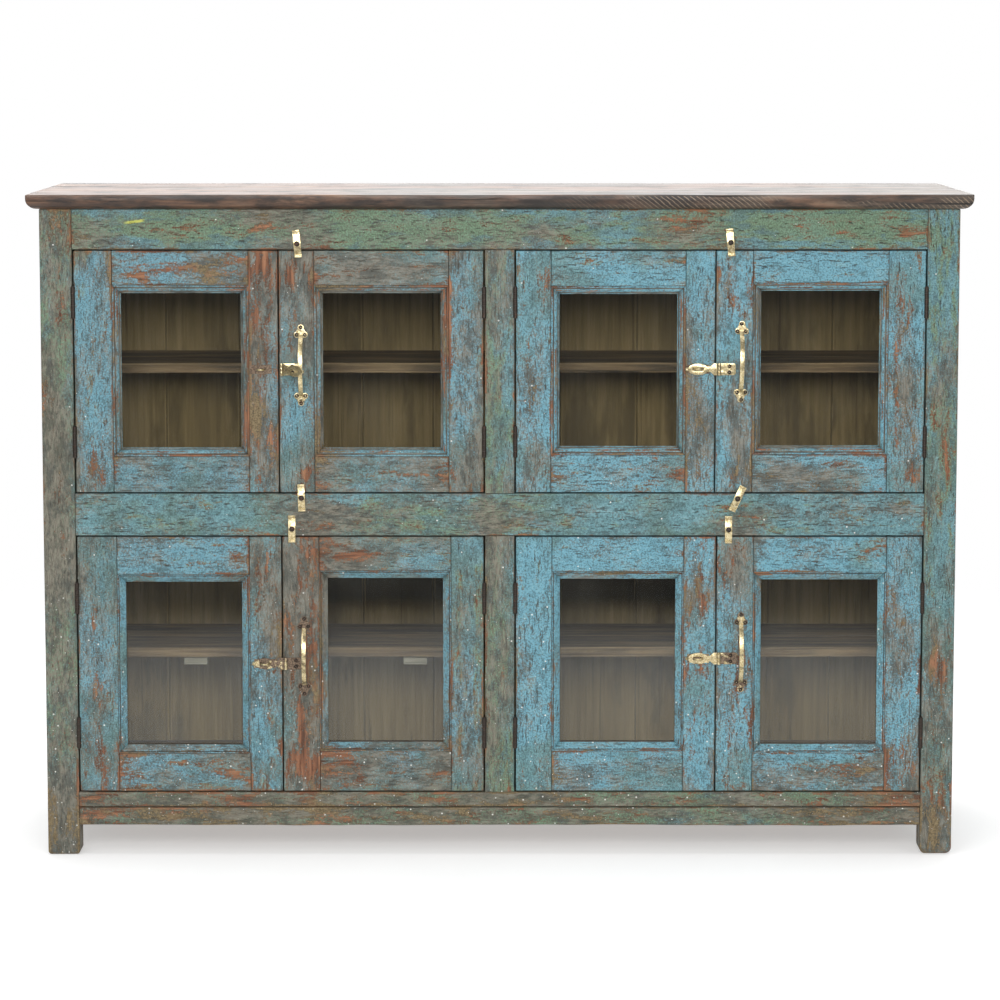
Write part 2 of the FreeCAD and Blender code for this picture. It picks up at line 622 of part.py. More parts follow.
frame_rails = []
for z0, z1 in rail_spans.values():
    for side in (-1, 1):
        lo, hi = sorted((side * SIDE_BOARD_OUT, side * HALF_CASE))
        frame_rails.append(block(lo, hi, POST_DEPTH, CASE_DEPTH - POST_DEPTH, z0, z1))
    top = z1 - BOARD_THICK if z1 < SLAB_UNDER else z1
    frame_rails.append(block(-POST_INNER, POST_INNER, BACK_FACE_DEPTH - SIDE_RAIL_THICK,
                             BACK_FACE_DEPTH, z0, top))
add("frame_rails", frame_rails)

side_boards = []
board_deep = (CASE_DEPTH - 2 * POST_DEPTH) / SIDE_BOARDS
for side in (-1, 1):
    lo, hi = sorted((side * SIDE_BOARD_IN, side * SIDE_BOARD_OUT))
    for k in range(SIDE_BOARDS):
        d0 = POST_DEPTH + k * board_deep
        side_boards.append(block(lo, hi, d0, d0 + board_deep, BOTTOM_RAIL_BOTTOM, SLAB_UNDER))
add("side_panels", side_boards)

back_boards = []
board_wide = 2 * POST_INNER / BACK_BOARDS
for k in range(BACK_BOARDS):
    x0 = -POST_INNER + k * board_wide
    back_boards.append(block(x0, x0 + board_wide, BACK_FACE_DEPTH, BACK_FACE_DEPTH + BOARD_THICK,
                             BOTTOM_RAIL_BOTTOM, SLAB_UNDER))
add("back_boards", back_boards)

half_board = BOARD_THICK / 2
partition = []
for z0, z1 in ((BOTTOM_RAIL_TOP, MIDDLE_RAIL_TOP - BOARD_THICK), (MIDDLE_RAIL_TOP, SLAB_UNDER)):
    board = block(-half_board, half_board, RAIL_THICK, BACK_FACE_DEPTH, z0, z1)
    partition.append(cut(board, frame_rails))
add("centre_partition", partition)

decks = []
for top in (BOTTOM_RAIL_TOP, MIDDLE_RAIL_TOP):
    edges = [RAIL_THICK, *DECK_JOINTS, BACK_FACE_DEPTH]
    for d0, d1 in zip(edges, edges[1:]):
        board = block(-SIDE_BOARD_IN, SIDE_BOARD_IN, d0, d1, top - BOARD_THICK, top)
        decks.append(cut(board, post_blocks))
add("decks", decks)

shelves, bearers = [], []
for tier, top in SHELF_TOPS.items():
    z0 = top - SHELF_THICK
    for sign in (-1, 1):
        lo, hi = sorted((sign * half_board, sign * SIDE_BOARD_IN))
        middle = (SHELF_SETBACK + BACK_FACE_DEPTH) / 2
        for d0, d1 in ((SHELF_SETBACK, middle), (middle, BACK_FACE_DEPTH)):
            shelves.append(cut(block(lo, hi, d0, d1, z0, top), post_blocks))
        inner = sorted((sign * half_board, sign * (half_board + BEARER)))
        outer = sorted((sign * (SIDE_BOARD_IN - BEARER), sign * SIDE_BOARD_IN))
        for a, b in (inner, outer):
            bearer = block(a, b, SHELF_SETBACK + 6, BACK_FACE_DEPTH, z0 - BEARER, z0)
            bearers.append(cut(bearer, post_blocks))
wide, deep, high = PALE_BLOCK
for x in PALE_BLOCK_X:
    z1 = SHELF_TOPS["lower"] - SHELF_THICK
    bearers.append(block(x - wide / 2, x + wide / 2, SHELF_SETBACK + 1, SHELF_SETBACK + 1 + deep,
                         z1 - high, z1))
add("shelves", shelves)
add("shelf_bearers", bearers)

# ---- top ----
slab = block(-HALF_CASE - TOP_OVERHANG, HALF_CASE + TOP_OVERHANG, -TOP_OVERHANG, CASE_DEPTH,
             SLAB_UNDER, HEIGHT)
back_y = FRONT_Y + CASE_DEPTH
under = [e for e in slab.Edges if e.BoundBox.ZMax < SLAB_UNDER + 0.01
         and not (e.BoundBox.YMin > back_y - 0.01)]
slab = slab.makeFillet(TOP_ROUND, under)
slab_boards = []
slab_deep = (CASE_DEPTH + TOP_OVERHANG) / TOP_BOARDS
for k in range(TOP_BOARDS):
    d0 = -TOP_OVERHANG + k * slab_deep
    slab_boards.append(slab.common(block(-HALF_CASE - 30, HALF_CASE + 30, d0, d0 + slab_deep,
                                         SLAB_UNDER - 1, HEIGHT + 1)))
add("top_boards", slab_boards)
add("hinge_fixed_leaves", fixed_leaves)
add("hinge_pins", pins)

# ---- write one file per node ----
os.makedirs("parts", exist_ok=True)
whole = FreeCAD.BoundBox()
for name, solids in nodes.items():
    group = solids[0] if len(solids) == 1 else Part.makeCompound(solids)
    whole.add(group.BoundBox)
    group.exportStep("parts/" + name + ".step")
print(len(nodes), "nodes,", sum(len(s) for s in nodes.values()), "solids")
corners = (whole.XMin, whole.XMax, whole.YMin, whole.YMax, whole.ZMin, whole.ZMax)
print("box", [round(v, 2) for v in corners])
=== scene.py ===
import json
import math

import bmesh
import bpy
import numpy as np
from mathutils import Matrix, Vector, noise

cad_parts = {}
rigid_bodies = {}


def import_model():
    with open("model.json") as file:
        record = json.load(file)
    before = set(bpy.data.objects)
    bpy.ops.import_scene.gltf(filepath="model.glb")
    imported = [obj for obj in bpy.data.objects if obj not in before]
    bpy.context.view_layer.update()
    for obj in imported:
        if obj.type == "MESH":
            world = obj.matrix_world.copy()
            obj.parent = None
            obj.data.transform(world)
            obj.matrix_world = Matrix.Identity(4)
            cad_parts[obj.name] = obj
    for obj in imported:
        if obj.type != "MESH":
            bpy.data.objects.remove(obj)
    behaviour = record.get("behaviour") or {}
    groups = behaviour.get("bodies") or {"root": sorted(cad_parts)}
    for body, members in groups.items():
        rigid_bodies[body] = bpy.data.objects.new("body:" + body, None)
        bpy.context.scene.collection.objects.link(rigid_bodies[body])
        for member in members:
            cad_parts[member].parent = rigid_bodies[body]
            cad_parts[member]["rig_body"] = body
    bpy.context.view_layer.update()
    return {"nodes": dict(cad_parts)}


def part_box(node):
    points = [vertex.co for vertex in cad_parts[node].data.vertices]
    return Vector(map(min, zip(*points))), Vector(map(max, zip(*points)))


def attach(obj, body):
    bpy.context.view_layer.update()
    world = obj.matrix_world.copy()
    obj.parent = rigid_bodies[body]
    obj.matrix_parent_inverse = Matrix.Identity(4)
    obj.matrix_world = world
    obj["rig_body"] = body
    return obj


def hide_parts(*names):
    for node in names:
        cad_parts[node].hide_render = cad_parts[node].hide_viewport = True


# The cabinet's looks: worn timber, mouldings, thin glass, brass and rusty hinges, built round the
# fixed frame. Metres, +Z up, doors face -Y.

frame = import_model()
rng = np.random.default_rng(11)

# ---- sizes that the frame's boxes don't give ----
FRONT_MEMBER = 0.028  # thickness of the front rails and centre stile
SHELF_THICK = 0.0176
BOARD_THICK = 0.012
BEARER = 0.02
BEAD_WIDTH = 0.014
BEAD_DEPTH = 0.012
GLASS_PLAY = 0.0005
STRIP_WIDTH = 0.009
STRIP_DEPTH = 0.008
TOP_ROUND = 0.018
SLIT = 0.0007  # half the gap between neighbouring boards
ARRIS = 0.0016  # radius of a worn edge
CELL = 0.013  # spacing of a board's surface points
WAVE = 0.00018  # how far a face rises and falls
STATIONS = 26  # cuts along a length of moulding

DOORS = [f"{tier}_door_{k}" for tier in ("upper", "lower") for k in (1, 2, 3, 4)]
FITTED = [d for d in DOORS if d[-1] in "24"]
STRAPS = {
    "upper_door_2": "hasp_strap_upper_left", "upper_door_4": "hasp_strap_upper_right",
    "lower_door_2": "hasp_strap_lower_left", "lower_door_4": "hasp_strap_lower_right",
}
BUTTONS = [n for n in frame["nodes"] if n.startswith("turn_button")]

post_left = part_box("front_post_left")
post_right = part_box("front_post_right")
FRONT = post_left[0].y
POST_IN = post_right[0].x
SLAB_UNDER = post_left[1].z


# ======================= where the paint has gone =======================
# Each patch: x, z, half width, half height, then how much wood, green under-paint and grime it adds.
PATCHES = [
    (-0.6, 1.07, 0.09, 0.02, 0.18, 0.75, 0.15), (-0.36, 1.085, 0.12, 0.02, 0.1, 0.6, 0.2),
    (-0.18, 1.07, 0.16, 0.022, 0.05, 0.85, 0.15), (0.08, 1.075, 0.12, 0.02, 0.12, 0.45, 0.3),
    (0.3, 1.07, 0.07, 0.03, 0.3, 0.35, 0.45), (0.52, 1.08, 0.1, 0.018, 0.05, 0.9, 0.05),
    (0.66, 1.07, 0.06, 0.025, 0.1, 0.6, 0.1), (0.56, 1.07, 0.16, 0.04, 0, 0, -0.55),
    (0.745, 0.97, 0.04, 0.12, 0, 0, -0.5), (0.5, 1.00, 0.13, 0.03, 0, 0, -0.5),
    (-0.7, 1.05, 0.02, 0.05, 0.15, 0.7, 0.1),
    (-0.745, 1.06, 0.025, 0.05, 0.55, 0.5, 0.1), (-0.745, 0.93, 0.02, 0.04, 0.35, 0.3, 0.2),
    (-0.755, 0.75, 0.03, 0.2, 0.1, 0.45, 0.5), (-0.745, 0.62, 0.02, 0.03, 0.6, 0.1, 0.2),
    (-0.745, 0.4, 0.03, 0.22, 0.03, 0.3, 0.45), (-0.74, 0.04, 0.05, 0.06, 0.6, 0.1, 0.8),
    (0.745, 0.95, 0.03, 0.18, 0.08, 0.35, 0.4), (0.75, 0.72, 0.02, 0.1, 0.3, 0.25, 0.35),
    (0.748, 0.33, 0.03, 0.06, 0.75, 0.05, 0.2), (0.745, 0.19, 0.03, 0.07, 0.4, 0.3, 0.35),
    (0.74, 0.04, 0.05, 0.06, 0.6, 0.05, 0.8), (0.6, 0.08, 0.15, 0.03, 0.35, 0.5, 0.3),
    (-0.5, 0.08, 0.22, 0.03, 0.4, 0.55, 0.45), (0, 0.08, 0.3, 0.03, 0.22, 0.7, 0.3),
    (-0.54, 1.005, 0.1, 0.022, 0.62, 0.05, 0.15), (-0.4, 0.96, 0.022, 0.12, 0.42, 0.05, 0.62),
    (-0.42, 0.8, 0.014, 0.13, 0.5, 0.05, 0.35), (-0.395, 0.72, 0.02, 0.08, 0.55, 0, 0.35),
    (-0.685, 0.66, 0.03, 0.035, 0.42, 0, 0.15), (-0.655, 0.83, 0.012, 0.2, 0.22, 0, 0.15),
    (-0.25, 1.00, 0.12, 0.03, 0.25, 0.1, 0.75), (-0.33, 0.95, 0.04, 0.1, 0.25, 0.1, 0.7),
    (-0.085, 0.92, 0.012, 0.09, 0.6, 0, 0.2), (-0.31, 0.67, 0.02, 0.05, 0.5, 0, 0.3),
    (-0.1, 0.66, 0.05, 0.025, 0.42, 0.1, 0.3), (-0.24, 0.655, 0.08, 0.015, 0.3, 0.25, 0.2),
    (0.075, 0.97, 0.016, 0.04, 0.62, 0, 0.15), (0.055, 0.77, 0.018, 0.1, 0.38, 0, 0.25),
    (0.08, 0.67, 0.03, 0.03, 0.45, 0, 0.2), (0.33, 0.72, 0.03, 0.1, 0.42, 0, 0.25),
    (0.31, 0.85, 0.02, 0.05, 0.25, 0, 0.1), (0.26, 0.665, 0.06, 0.02, 0.3, 0, 0.15),
    (0.4, 0.98, 0.035, 0.05, 0.28, 0, 0.55), (0.41, 0.7, 0.03, 0.07, 0.3, 0.05, 0.35),
    (0.675, 0.95, 0.016, 0.09, 0.42, 0, 0.15), (0.68, 0.76, 0.022, 0.09, 0.55, 0, 0.15),
    (0.62, 0.66, 0.07, 0.02, 0.32, 0.1, 0.15), (0.5, 0.655, 0.06, 0.015, 0.25, 0.2, 0.2),
    (-0.32, 0.58, 0.05, 0.03, 0.25, 0.3, 0.6), (-0.18, 0.58, 0.12, 0.03, 0.18, 0.45, 0.35),
    (0, 0.585, 0.05, 0.03, 0.2, 0.45, 0.25), (0.4, 0.58, 0.05, 0.025, 0.2, 0.3, 0.45),
    (0.64, 0.59, 0.08, 0.02, 0.3, 0.15, 0.1), (-0.02, 0.8, 0.02, 0.2, 0.1, 0.45, 0.3),
    (-0.01, 0.33, 0.02, 0.22, 0.15, 0.4, 0.35), (-0.44, 0.51, 0.03, 0.05, 0.55, 0, 0.3),
    (-0.39, 0.42, 0.02, 0.1, 0.45, 0.1, 0.45), (-0.685, 0.33, 0.018, 0.1, 0.45, 0, 0.25),
    (-0.665, 0.16, 0.05, 0.04, 0.55, 0.05, 0.3), (-0.5, 0.145, 0.1, 0.025, 0.35, 0.2, 0.35),
    (-0.325, 0.46, 0.035, 0.09, 0.42, 0.1, 0.95), (-0.26, 0.52, 0.09, 0.025, 0.4, 0.15, 0.7),
    (-0.33, 0.25, 0.03, 0.12, 0.55, 0, 0.45), (-0.27, 0.155, 0.09, 0.03, 0.55, 0, 0.35),
    (-0.08, 0.16, 0.04, 0.04, 0.35, 0.2, 0.25), (-0.06, 0.36, 0.025, 0.14, 0.1, 0.25, 0.15),
    (0.335, 0.46, 0.022, 0.1, 0.55, 0, 0.25), (0.33, 0.27, 0.022, 0.1, 0.35, 0, 0.2),
    (0.08, 0.15, 0.05, 0.03, 0.35, 0, 0.2), (0.25, 0.15, 0.1, 0.025, 0.25, 0, 0.2),
    (0.4, 0.5, 0.035, 0.06, 0.3, 0.05, 0.75), (0.405, 0.25, 0.02, 0.13, 0.42, 0, 0.3),
    (0.68, 0.4, 0.025, 0.1, 0.25, 0, 0.25), (0.66, 0.16, 0.06, 0.04, 0.38, 0, 0.2),
    (0.55, 0.145, 0.08, 0.02, 0.28, 0.15, 0.2),
]
SPREAD = 1.15


def finish_at(points, base):
    """Wood, green and grime shares at each point: a base plus every patch near it."""
    shares = np.tile(np.array(base, float), (len(points), 1))
    for x, z, half_x, half_z, wood, green, grime in PATCHES:
        reach = ((points[:, 0] - x) / (half_x * SPREAD)) ** 2 + ((points[:, 2] - z) / (half_z * SPREAD)) ** 2
        near = np.exp(-reach)
        near[points[:, 1] > FRONT + 0.05] = 0
        shares += near[:, None] * np.array([wood, green, grime])
    return shares.clip(-0.6, 1)


def ripple(points, scale, seed):
    """Smooth noise at each point, about -0.5 to 0.5."""
    shift = Vector((seed * 3.1, seed * 1.7, seed * 2.3))
    return np.array([noise.noise(Vector(p) * scale + shift) for p in points]) * 0.5


# ======================= timber =======================
class Timber:
    """Boards and mouldings gathered into one piece, each point with its grain place, how far it is
    from the nearest edge and how worn it is."""

    def __init__(self, name):
        self.name = name
        self.points, self.faces, self.sides = [], [], []
        self.grain, self.edge, self.finish = [], [], []
        self.count = 0

    def gather(self, points, faces, grain, edge, finish, side=0):
        self.points.append(points)
        self.faces += [[i + self.count for i in f] for f in faces]
        self.sides += [side] * len(faces) if isinstance(side, int) else list(side)
        self.grain.append(grain)
        self.edge.append(edge)
        self.finish.append(finish)
        self.count += len(points)

    def piece(self, body, node, slot, *materials):
        mesh = bpy.data.meshes.new(self.name)
        points = np.concatenate(self.points)
        mesh.from_pydata(points.tolist(), [], self.faces)
        for label, kind, values in (("grain", "FLOAT_VECTOR", np.concatenate(self.grain)),
                                    ("finish", "FLOAT_VECTOR", np.concatenate(self.finish)),
                                    ("edge", "FLOAT", np.concatenate(self.edge))):
            layer = mesh.attributes.new(label, kind, "POINT")
            field = "vector" if kind == "FLOAT_VECTOR" else "value"
            layer.data.foreach_set(field, np.asarray(values, np.float32).ravel())
        for material in materials:
            mesh.materials.append(material)
        mesh.polygons.foreach_set("material_index", self.sides)
        mesh.polygons.foreach_set("use_smooth", [True] * len(mesh.polygons))
        mesh.update()
        return settle(self.name, mesh, body, node)


def settle(name, mesh, body, node):
    """Puts a finished mesh in the scene on its body, in place of its CAD node."""
    obj = bpy.data.objects.new(name, mesh)
    bpy.context.scene.collection.objects.link(obj)
    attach(obj, body)
    if node:
        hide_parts(*([node] if isinstance(node, str) else node))
    return obj


def lines(length, cell, arris, levels):
    """Places of the cuts along one side of a board, close together near both ends."""
    near = np.array([0, 0.4, 1.0, 2.2]) * arris
    count = max(2, int(round(length / cell)) + 1)
    inner = np.linspace(near[-1], length - near[-1], count)
    if levels is not None:
        extra = {v for v in levels if near[-1] < v < length - near[-1]}
        inner = np.array(sorted(set(np.round(inner, 6)) | extra))
    return np.concatenate([near[:-1], inner, length - near[:-1][::-1]])


def shell(sizes):
    """Surface points of a lattice, as indices, and the outward quads between them."""
    index = np.full(sizes, -1)
    mask = np.zeros(sizes, bool)
    for axis in range(3):
        for end in (0, -1):
            mask[tuple(end if a == axis else slice(None) for a in range(3))] = True
    index[mask] = np.arange(mask.sum())
    quads = []
    for axis in range(3):
        for end in (0, -1):
            sheet = index[tuple(end if a == axis else slice(None) for a in range(3))]
            quad = np.stack([sheet[:-1, :-1], sheet[1:, :-1], sheet[1:, 1:], sheet[:-1, 1:]], -1)
            quad = quad.reshape(-1, 4)
            outward = (axis != 1) == (end == -1)
            quads.append(quad if outward else quad[:, ::-1])
    return mask, np.concatenate(quads)


def board(timber, low, high, along, base=(0.1, 0.0, 0.1), arris=ARRIS, cell=CELL, chips=1.0,
          shape=None, side=None, levels=(None, None, None)):
    """One worn board between two corners, with its grain along axis 0, 1 or 2."""
    low, high = np.array(low, float), np.array(high, float)
    size = high - low
    cuts = [lines(size[a], cell, min(arris, size[a] / 6), levels[a]) for a in range(3)]
    mask, quads = shell([len(c) for c in cuts])
    local = np.stack(np.meshgrid(*cuts, indexing="ij"), -1)[mask] - size / 2
    seed = float(rng.uniform(0, 60))
    order = [along] + [a for a in range(3) if a != along]
    half = size / 2
    off = np.sort(half - np.abs(local), axis=1)[:, 1]
    stretched = local.copy()
    stretched[:, along] *= 0.35
    radius = arris * (1 + 1.1 * ripple(stretched, 55, seed).clip(-0.4, 1) * chips)
    radius += chips * 0.0055 * (ripple(stretched, 24, seed + 9) - 0.3).clip(0, 1)
    radius = np.minimum(radius[:, None].clip(0.0004), half * 0.45)
    core = np.clip(local, -(half - radius), half - radius)
    away = local - core
    reach = np.linalg.norm(away, axis=1)[:, None]
    unit = away / np.maximum(reach, 1e-9)
    worn = core + unit * radius.min(1)[:, None]
    on_flat = (np.abs(away) > 1e-9).sum(1) <= 1
    worn[on_flat] = local[on_flat]
    worn += unit * (ripple(stretched, 14, seed + 5) * WAVE)[:, None]
    points = worn + (low + high) / 2
    if shape:
        points = shape(points)
    grain = local[:, order] + np.array([seed, seed * 0.37, seed * 0.61])
    faces = quads.tolist()
    sides = 0
    if side:
        middle = points[quads].mean(1)
        sides = [side(*m) for m in middle]
    timber.gather(points, faces, grain, off, finish_at(points, base), sides)


def tongue(timber, low, high, share=0.3):
    """A thin loose strip in the middle of a joint, so no light comes through between two boards."""
    low, high = np.array(low, float), np.array(high, float)
    thin = int(np.argmin(high - low))
    inset = (high[thin] - low[thin]) * share
    low[thin] += inset
    high[thin] -= inset
    board(timber, low, high, int(np.argmax(high - low)), (0.2, 0.0, 0.9), cell=0.06)


def section_bar(timber, corner, along, inward, length, section, base, crest):
    """A mitred length of moulding. section is (across, depth) points; it runs from corner along one
    side of a rectangle, with inward pointing to its middle."""
    seed = float(rng.uniform(0, 60))
    share = np.linspace(0, 1, STATIONS)
    across = np.array([p[0] for p in section])
    depth = np.array([p[1] for p in section])
    run = across[None, :] + share[:, None] * (length - 2 * across[None, :])
    a, n = np.array([along[0], 0, along[1]]), np.array([inward[0], 0, inward[1]])
    start = np.array([corner[0], FRONT, corner[1]])
    points = start + run[..., None] * a + across[None, :, None] * n
    points[..., 1] += depth[None, :]
    points = points.reshape(-1, 3)
    shift = ripple(points, 40, seed) * 0.0003
    points[:, 1] += np.where(np.tile(depth, STATIONS) < BEAD_DEPTH * 0.95, shift, 0)
    m = len(section)
    faces = []
    for s in range(STATIONS - 1):
        for k in range(m):
            j = (k + 1) % m
            faces.append([s * m + k, s * m + j, (s + 1) * m + j, (s + 1) * m + k])
    faces += [list(range(m))[::-1], [(STATIONS - 1) * m + k for k in range(m)]]
    turn = np.cross(a, n)[1]
    if turn > 0:
        faces = [f[::-1] for f in faces]
    grain = np.stack([run.ravel(), np.tile(across, STATIONS), np.tile(depth, STATIONS)], 1)
    grain += np.array([seed, seed * 0.37, seed * 0.61])
    # Hollow points (the quirks and where the bead meets the frame) get edge 0 and a large grime share: the
    # dark line and dark fill there are painted shade, with some dirt. Crests get a little wear.
    edge = np.tile(np.choose(crest, [0.012, 0.0025, 0.0]), STATIONS)
    finish = finish_at(points, base)
    finish[:, 2] += np.tile(np.choose(crest, [0.0, -0.3, 1.6]), STATIONS)
    finish[:, 0] += np.tile(np.choose(crest, [0.0, 0.25, 0.0]), STATIONS)
    timber.gather(points, faces, grain, edge, finish)


def bead_section(tier):
    """The moulding round the glass: stepped and rounded above, plainly splayed below."""
    if tier == "upper":
        points = [(0, 12), (0, 1.2), (0.5, 0.8), (1.6, 0.7), (3.0, 0.8), (3.4, 1.3), (3.6, 3.0), (4.2, 3.2)]
        turns = np.linspace(0.25, 1.5, 7)
        points += [(4.2 + 6.4 * math.sin(t), 3.2 + 5.2 * (1 - math.cos(t))) for t in turns]
        points += [(11.3, 8.6), (11.6, 9.3), (13.6, 9.4), (14, 9.8), (14, 12)]
        crest, hollow = [2, 3, 4, 9, 10, 11], [0, 1, 5, 6, 7, 15, 16]
    else:
        points = [(0, 12), (0, 1.1), (0.5, 0.8), (1.7, 0.8), (2.1, 1.3), (2.3, 3.2), (3.2, 3.2), (3.5, 1.4),
                  (4.1, 1.1), (6, 2.5), (9, 4.8), (12, 7.1), (13.7, 8.4), (14, 9.0), (14, 12)]
        crest, hollow = [2, 3, 7, 8], [0, 1, 5, 6, 13, 14]
    flags = np.array([1 if k in crest else 2 if k in hollow else 0 for k in range(len(points))])
    return [(w * 0.001, d * 0.001) for w, d in points], flags


def ring(timber, x0, x1, z0, z1, section, base, crest):
    """Four mitred lengths round the inside of a rectangle."""
    for corner, along, inward in (((x0, z0), (1, 0), (0, 1)), ((x1, z0), (0, 1), (-1, 0)),
                                  ((x1, z1), (-1, 0), (0, -1)), ((x0, z1), (0, -1), (1, 0))):
        length = (x1 - x0) if along[0] else (z1 - z0)
        section_bar(timber, corner, along, inward, length, section, base, crest)


# ======================= materials =======================
def add_node(tree, kind, inputs=None, **settings):
    """A new node with its settings; an input given as a socket is linked, any other is set."""
    node = tree.nodes.new(kind)
    for key, value in settings.items():
        setattr(node, key, value)
    for key, value in (inputs or {}).items():
        if isinstance(value, bpy.types.NodeSocket):
            tree.links.new(value, node.inputs[key])
        else:
            node.inputs[key].default_value = value
    return node


class Nodes:
    """Short ways to lay out a material's nodes."""

    def __init__(self, name):
        self.material = bpy.data.materials.new(name)
        self.material.use_nodes = True
        self.tree = self.material.node_tree
        self.tree.nodes.clear()
        self.out = self.tree.nodes.new("ShaderNodeOutputMaterial")

    def add(self, kind, inputs=None, **settings):
        return add_node(self.tree, kind, inputs, **settings)

    def finish(self, shader):
        """Links a shader to the output and gives the material."""
        self.tree.links.new(shader, self.out.inputs[0])
        return self.material

    def principled(self, **inputs):
        named = {k.replace("_", " "): v for k, v in inputs.items()}
        return self.finish(self.add("ShaderNodeBsdfPrincipled", named).outputs[0])

    def attribute(self, label, output="Vector"):
        return self.add("ShaderNodeAttribute", attribute_name=label).outputs[output]

    def place(self):
        return self.add("ShaderNodeTexCoord").outputs["Object"]

    def times(self, a, b):
        return self.math("MULTIPLY", a, b)

    def stretch(self, vector, x, y, z):
        inputs = {0: vector, 1: (x, y, z)}
        return self.add("ShaderNodeVectorMath", inputs, operation="MULTIPLY").outputs[0]

    def noise(self, vector, scale=1.0, detail=5.0, rough=0.6, twist=0.0):
        return self.add("ShaderNodeTexNoise", {"Vector": vector, "Scale": scale, "Detail": detail,
                                               "Roughness": rough, "Distortion": twist}).outputs["Fac"]

    def grained(self, vector, x, y, z, detail, rough, twist=0.0):
        """Noise stretched by a different amount along each axis."""
        return self.noise(self.stretch(vector, x, y, z), 1.0, detail, rough, twist)

    def math(self, how, a, b=0.0, c=0.0):
        return self.add("ShaderNodeMath", {0: a, 1: b, 2: c}, operation=how).outputs[0]

    def total(self, *terms):
        """Adds up socket * weight pairs and plain numbers."""
        whole = None
        for term in terms:
            value = self.times(*term) if isinstance(term, tuple) else term
            whole = value if whole is None else self.math("ADD", whole, value)
        return whole

    def fade(self, value, low, high, to_low=0.0, to_high=1.0):
        inputs = {"Value": value, "From Min": low, "From Max": high, "To Min": to_low, "To Max": to_high}
        return self.add("ShaderNodeMapRange", inputs, interpolation_type="SMOOTHSTEP").outputs[0]

    def ramp(self, value, *stops):
        node = self.add("ShaderNodeValToRGB", {"Fac": value})
        marks = node.color_ramp.elements
        while len(marks) < len(stops):
            marks.new(1.0)
        for mark, (place, colour) in zip(marks, stops):
            mark.position = place
            mark.color = (*colour, 1)
        return node.outputs[0]

    def mix(self, share, a, b):
        a, b = (c if isinstance(c, bpy.types.NodeSocket) else (*c, 1) for c in (a, b))
        inputs = {"Factor": share, 6: a, 7: b}
        settings = {"data_type": "RGBA", "clamp_factor": True}
        return self.add("ShaderNodeMix", inputs, **settings).outputs[2]

    def bump(self, height, distance, strength=1.0):
        inputs = {"Height": height, "Distance": distance, "Strength": strength}
        return self.add("ShaderNodeBump", inputs).outputs[0]

    def parts(self, vector):
        return self.add("ShaderNodeSeparateXYZ", {0: vector}).outputs[:3]


def bare_timber_colour(n, grain, dark, middle, light):
    """Streaky wood, darker in the late grain."""
    streak = n.grained(grain, 5, 110, 110, 7, 0.62, 0.25)
    broad = n.grained(grain, 2.2, 16, 16, 4, 0.55, 0.6)
    tone = n.total((streak, 0.62), (broad, 0.38))
    return n.ramp(tone, (0.36, dark), (0.5, middle), (0.64, light)), streak


